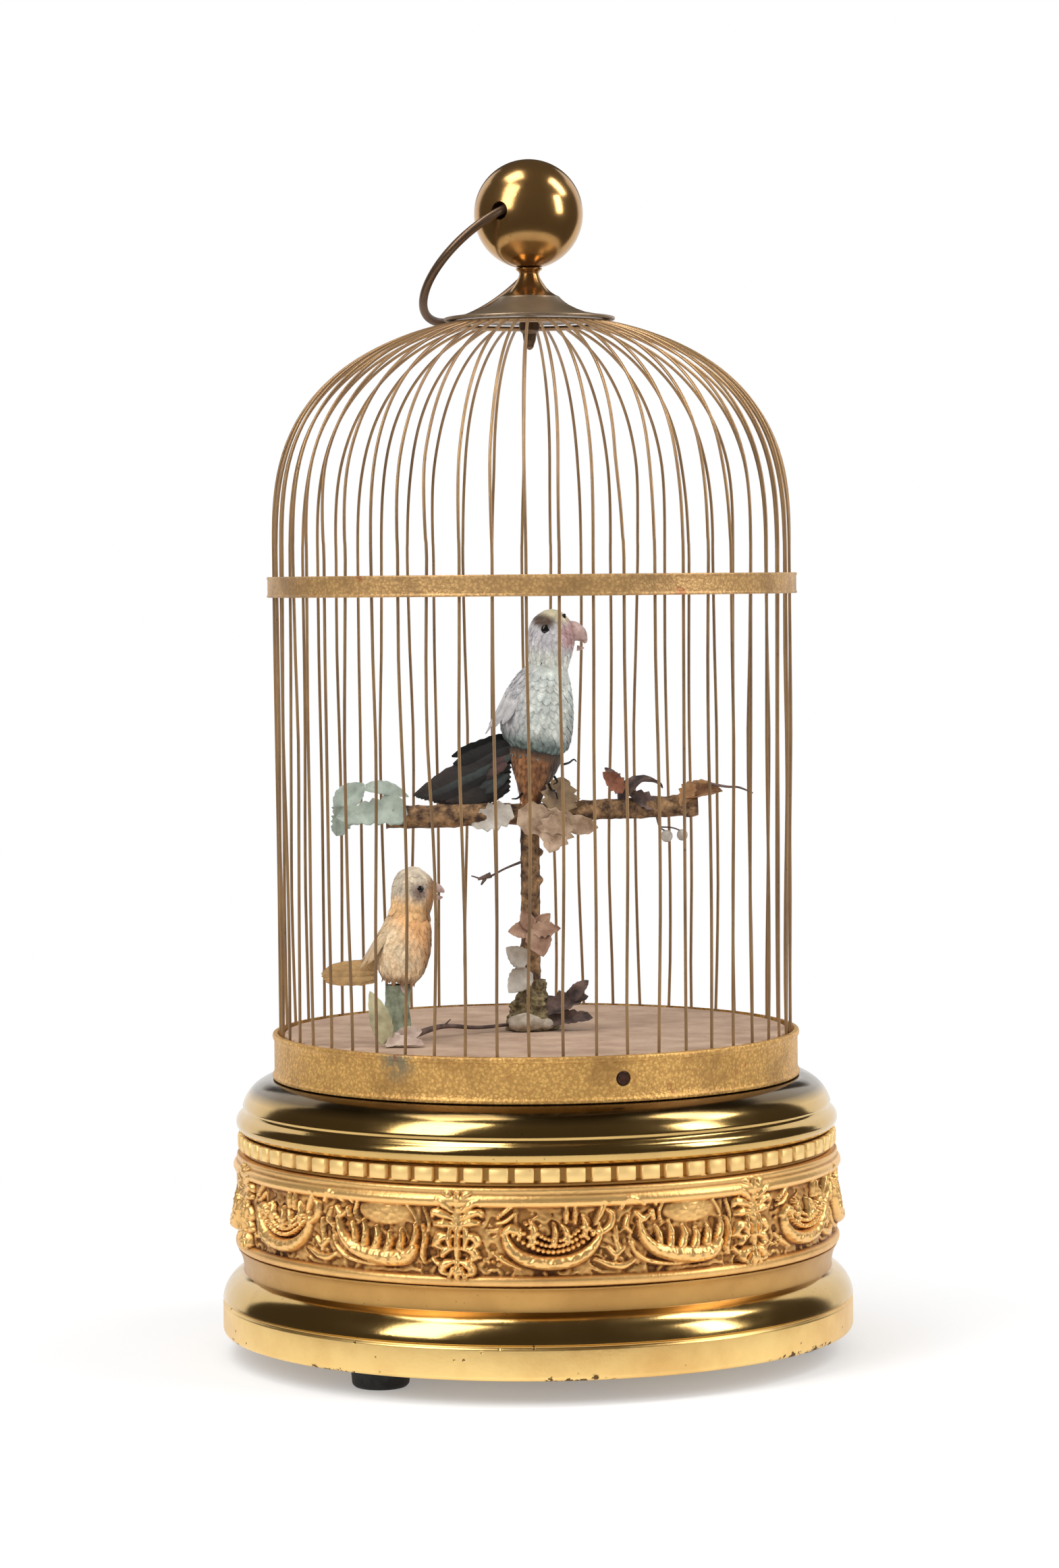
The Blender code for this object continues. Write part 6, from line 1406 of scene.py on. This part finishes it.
def build_upper_head(dice):
    stations = ((34.7, 4.7, -1.4), (37.0, 5.2, -1.6), (41.0, 5.7, -1.9), (44.5, 4.9, -2.1), (47.0, 2.8, -2.2),
                (47.9, 0.8, -2.2))
    head = Plump(UPPER_FRAME, stations, upper_crown)
    head.body()
    head.feathers(35.4, 47.0, 1.15, (2.2, 1.6), dice, lift=0.16)
    skull = head.made("upper_skull", "upper_bird_head", "upper_head", "grey_plumage")
    put_eyes("upper_eye_", UPPER_FRAME, -3.6, 5.0, 42.8, 1.15, skull)
    line = [(0.0, -2.6, 46.0), (0.2, -2.9, 46.8), (0.4, -3.0, 47.3)]
    carry(beak("upper_brow_nub", UPPER_FRAME, line, (0.7, 0.55, 0.2), EYE), skull)
    line = [(1.4, 0, 43.1), (3.2, 0, 43.4), (4.9, 0, 42.9), (6.1, 0, 41.9), (6.5, 0, 41.1)]
    carry(beak("upper_bill", UPPER_FRAME, line, (2.6, 2.5, 1.9, 0.9, 0.3), flat=0.95), skull)
    line = [(4.7, 0, 39.6), (5.6, 0, 39.7), (6.4, 0, 39.95)]
    lower = beak("upper_bill_lower", UPPER_FRAME, line, (0.7, 0.5, 0.15))
    seat(lower, "upper_beak_lower", "upper_beak")


def build_upper_legs(dice):
    stations = ((0.4, 2.25, 0.0), (4.0, 3.3, -0.3), (9.0, 5.4, -0.6), (12.9, 6.7, -0.8))
    legs = Plump(UPPER_FRAME, stations, upper_trousers)
    legs.body()
    legs.feathers(2.2, 13.4, 1.35, (3.0, 1.7), dice, lift=0.3)
    thighs = legs.made("upper_trousers", "upper_bird_legs", "base", "brown_plumage")
    verts, faces = [], []
    for wire in ([(6.0, -1.5, 11.0), (7.6, -2.0, 11.8), (8.6, -2.2, 12.8), (9.4, -2.2, 12.4)],
                 [(3.6, -2.6, 6.0), (4.6, -3.0, 4.6), (5.6, -3.0, 4.4), (6.4, -2.8, 2.6)],
                 [(4.6, -2.4, 8.0), (5.6, -2.8, 6.8), (4.8, -3.2, 6.0)],
                 [(-2.2, -3.0, 2.6), (-3.2, -3.4, 1.2), (-4.6, -3.4, 0.8)]):
        line = smooth_path(wire, 8)
        tube_mesh(line, np.linspace(0.32, 0.14, len(line)), 8, verts, faces)
    verts = [(UPPER_FRAME @ (v / MM)) * MM for v in verts]
    carry(add_solid("upper_curls", verts, faces, EYE), thighs)


def build_upper_tail(dice):
    """Ragged dark fan: long feathers on both sides, a shorter layer over them and tufts at the root."""
    tail = Plump(UPPER_FRAME)
    right, left = Vector((0.0, -1.0, 0.12)), Vector((0.0, 1.0, 0.12))
    count = 11
    for k in range(count):
        t = k / (count - 1)
        start = Vector((-6.9 + 1.2 * t, (-1.9 if k % 2 else -1.0), 14.2 - 11.2 * t))
        reach = Vector((-28.4 + 11.5 * t ** 1.4, -0.4, -2.2 - 1.9 * t)) - start
        near = dice.uniform(0.0, 1.0)
        colours = blended(BLACK, SLATE, 0.75 if k in (2, 3) else 0.1 * near), blended(BLACK, BROWN, near)
        length = reach.length * dice.uniform(0.9, 1.05)
        tail.quill(start, reach, right, length, 3.5 - 0.4 * t, -0.04, colours, 0.07, 15)
    for k in range(count - 2):
        t = (k + 0.5) / (count - 2)
        start = Vector((-6.9 + 1.2 * t, (1.6 if k % 2 else 0.9), 13.8 - 10.6 * t))
        reach = Vector((-27.4 + 11.0 * t ** 1.4, 0.5, -3.0 - 1.0 * t)) - start
        tail.quill(start, reach, left, reach.length, 3.4, -0.04, (BLACK, BROWN), 0.08, 14)
    for k in range(6):
        start = (-7.0, -1.4 if k % 2 else 1.2, 16.0 - 1.3 * k)
        towards, facing = (-1.0, 0.0, -0.56 - 0.06 * k), (0.0, -1.0 if k % 2 else 1.0, 0.15)
        tone = blended(BLACK, SLATE, 0.5 * dice.uniform(0.0, 1.0))
        length = 17.0 - 1.6 * k + dice.uniform(-1.5, 1.5)
        tail.quill(start, towards, facing, length, 3.2, -0.05, (tone, BLACK), 0.07, 13)
    for k in range(16):
        start = Vector((-6.9 + dice.uniform(-0.4, 0.8), dice.uniform(-2.4, 2.4), dice.uniform(3.4, 11.8)))
        towards = (-1.0, 0.1 * start[1], dice.uniform(-1.3, -0.7))
        facing = (0.0, -1.0 if start[1] < 0 else 1.0, 0.2)
        tone = ((0.02, 0.02, 0.018), (0.14, 0.07, 0.06), (0.05, 0.065, 0.06))[k % 3]
        tail.quill(start, towards, facing, dice.uniform(5.0, 7.5), 2.2, 0.1, (tone, BLACK), 0.05, 8)
    tail.made("upper_tail_fan", "upper_bird_tail", "upper_tail", "black_plumage")


def build_upper_bird():
    dice = random.Random(7)
    build_upper_body(dice)
    build_upper_head(dice)
    build_upper_legs(dice)
    build_upper_tail(dice)


def lower_coat(p):
    colour = noisy((0.78, 0.60, 0.38), (0.72, 0.49, 0.27), p, 2.4, 1.0, 2.0)
    colour = blended(colour, (0.74, 0.38, 0.15), (p[2] - 9.0) / 6.0 + (p[0] - 0.6) / 7.0)
    colour = blended(colour, (0.26, 0.12, 0.035), (p[0] - 4.3) / 1.6)
    colour = blended(colour, (0.52, 0.35, 0.17), (-p[0] - 4.6) / 1.6)
    return blended(colour, (0.26, 0.13, 0.05), (2.6 - p[2]) / 1.6)


def lower_crown(p):
    colour = noisy((0.60, 0.49, 0.35), (0.50, 0.41, 0.30), p, 1.6, 2.0, 2.0)
    colour = blended(colour, (0.72, 0.42, 0.18), (22.0 - p[2]) / 3.0)
    colour = blended(colour, (0.28, 0.13, 0.04), (p[0] - 2.6) / 1.5)
    return blended(colour, (0.22, 0.14, 0.11), spot(p, 1.6, 23.0, 2.0, 2.4, 1.2) * 1.3)


def build_lower_body(dice):
    stations = ((0.9, 3.8, 0.0), (3.6, 5.5, 0.0), (8.5, 6.5, -0.2), (13.0, 5.9, 0.0), (17.3, 4.7, 0.1))
    body = Plump(LOWER_FRAME, stations, lower_coat)
    body.body()
    body.feathers(2.4, 16.6, 1.15, (2.7, 1.7), dice, lift=0.2)
    roots = ((2.4, 12.5, 9.0), (2.75, 11.5, 9.6), (-2.4, 12.5, 9.0), (-2.75, 11.5, 9.6), (3.14, 12.0, 9.4))
    body.wing(roots, 0.15, (-0.35, 0.08), 1.0, 2.3, 0.08, PEACH_WING, 9)
    torso = body.made("lower_torso", "lower_bird_body", "base", "peach_plumage")
    for k, (x, y) in enumerate(((0.6, -1.7), (1.6, 1.4))):
        toes = [(x, y, 1.6), (x + 0.6, y * 1.5, -0.6), (x + 1.6, y * 1.9, -1.6)]
        carry(beak("lower_foot_%d" % k, LOWER_FRAME, toes, (0.6, 0.4, 0.25), flat=1.0), torso)


def build_lower_head(dice):
    stations = ((17.75, 4.6, 0.1), (20.0, 4.9, 0.1), (23.5, 5.0, 0.0), (26.5, 3.8, -0.2), (28.3, 1.1, -0.4))
    head = Plump(LOWER_FRAME, stations, lower_crown)
    head.body()
    head.feathers(17.9, 27.6, 1.0, (1.9, 1.4), dice, lift=0.13)
    head.feathers(17.8, 18.2, 1.0, (2.2, 1.8), dice, lift=0.75)
    skull = head.made("lower_skull", "lower_bird_head", "lower_head", "peach_plumage")
    put_eyes("lower_eye_", LOWER_FRAME, 1.5, 4.35, 23.6, 1.0, skull)
    line = [(3.6, 0, 23.8), (5.2, 0, 24.2), (6.6, 0, 23.9), (7.4, 0, 23.5)]
    carry(beak("lower_bill", LOWER_FRAME, line, (1.5, 1.3, 0.7, 0.2)), skull)
    line = [(5.7, 0, 22.0), (6.4, 0, 22.05), (7.2, 0, 22.25)]
    lower = beak("lower_bill_lower", LOWER_FRAME, line, (0.8, 0.55, 0.15))
    seat(lower, "lower_beak_lower", "lower_beak")


def build_lower_tail():
    tail = Plump(LOWER_FRAME)
    for side in (-1.0, 1.0):
        for k in range(7):
            t = k / 6
            start = Vector((-5.4, side * (0.6 + 0.3 * (k % 2)), 4.6 - 4.6 * t))
            reach = Vector((-17.2 - 1.2 * sin(pi * t), side * 0.7, 1.4 - 3.4 * t)) - start
            colours = noisy((0.62, 0.40, 0.17), (0.34, 0.19, 0.07), start * 3.0, 2.0, 3.0), (0.42, 0.24, 0.09)
            tail.quill(start, reach, (0.0, side, 0.15), reach.length, 2.0, -0.03, colours, 0.07, 10)
    tail.made("lower_tail_fan", "lower_bird_tail", "lower_tail", "brown_plumage")


def build_lower_bird():
    dice = random.Random(19)
    build_lower_body(dice)
    build_lower_head(dice)
    build_lower_tail()


# Nodes that show as they are

PLAIN_NODES = {
    MOVEMENT: ("bottom_cover", "movement_plate_lower", "movement_plate_upper", "winding_key",
               "mainspring_barrel", "great_wheel", "second_wheel", "third_wheel", "governor_fly",
               "whistle_body"),
    SCREW: ("collar_screw",),
    STEEL: ("winding_arbor", "mainspring", "cam_arbor", "pump_lever", "upper_song_lever", "lower_song_lever",
            "stop_lever", "whistle_piston", "upper_song_rod", "upper_turn_tube", "lower_song_rod",
            "lower_turn_tube"),
    WOOD: ("bellows_board_lower", "bellows_board_upper"),
    LEATHER: ("bellows_leather",),
}


def dress_nodes():
    for surface, names in PLAIN_NODES.items():
        for name in names:
            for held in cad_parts[name].material_slots:
                held.material = surface


for build in (build_camera, build_world, build_table, build_room, build_lamps, build_casing,
              build_frieze, build_dentils, build_feet, build_collar, build_floor, build_cage, build_cap,
              build_finial, build_nut, build_perch, build_leaves, build_twigs, build_upper_bird,
              build_lower_bird, dress_nodes):
    build()
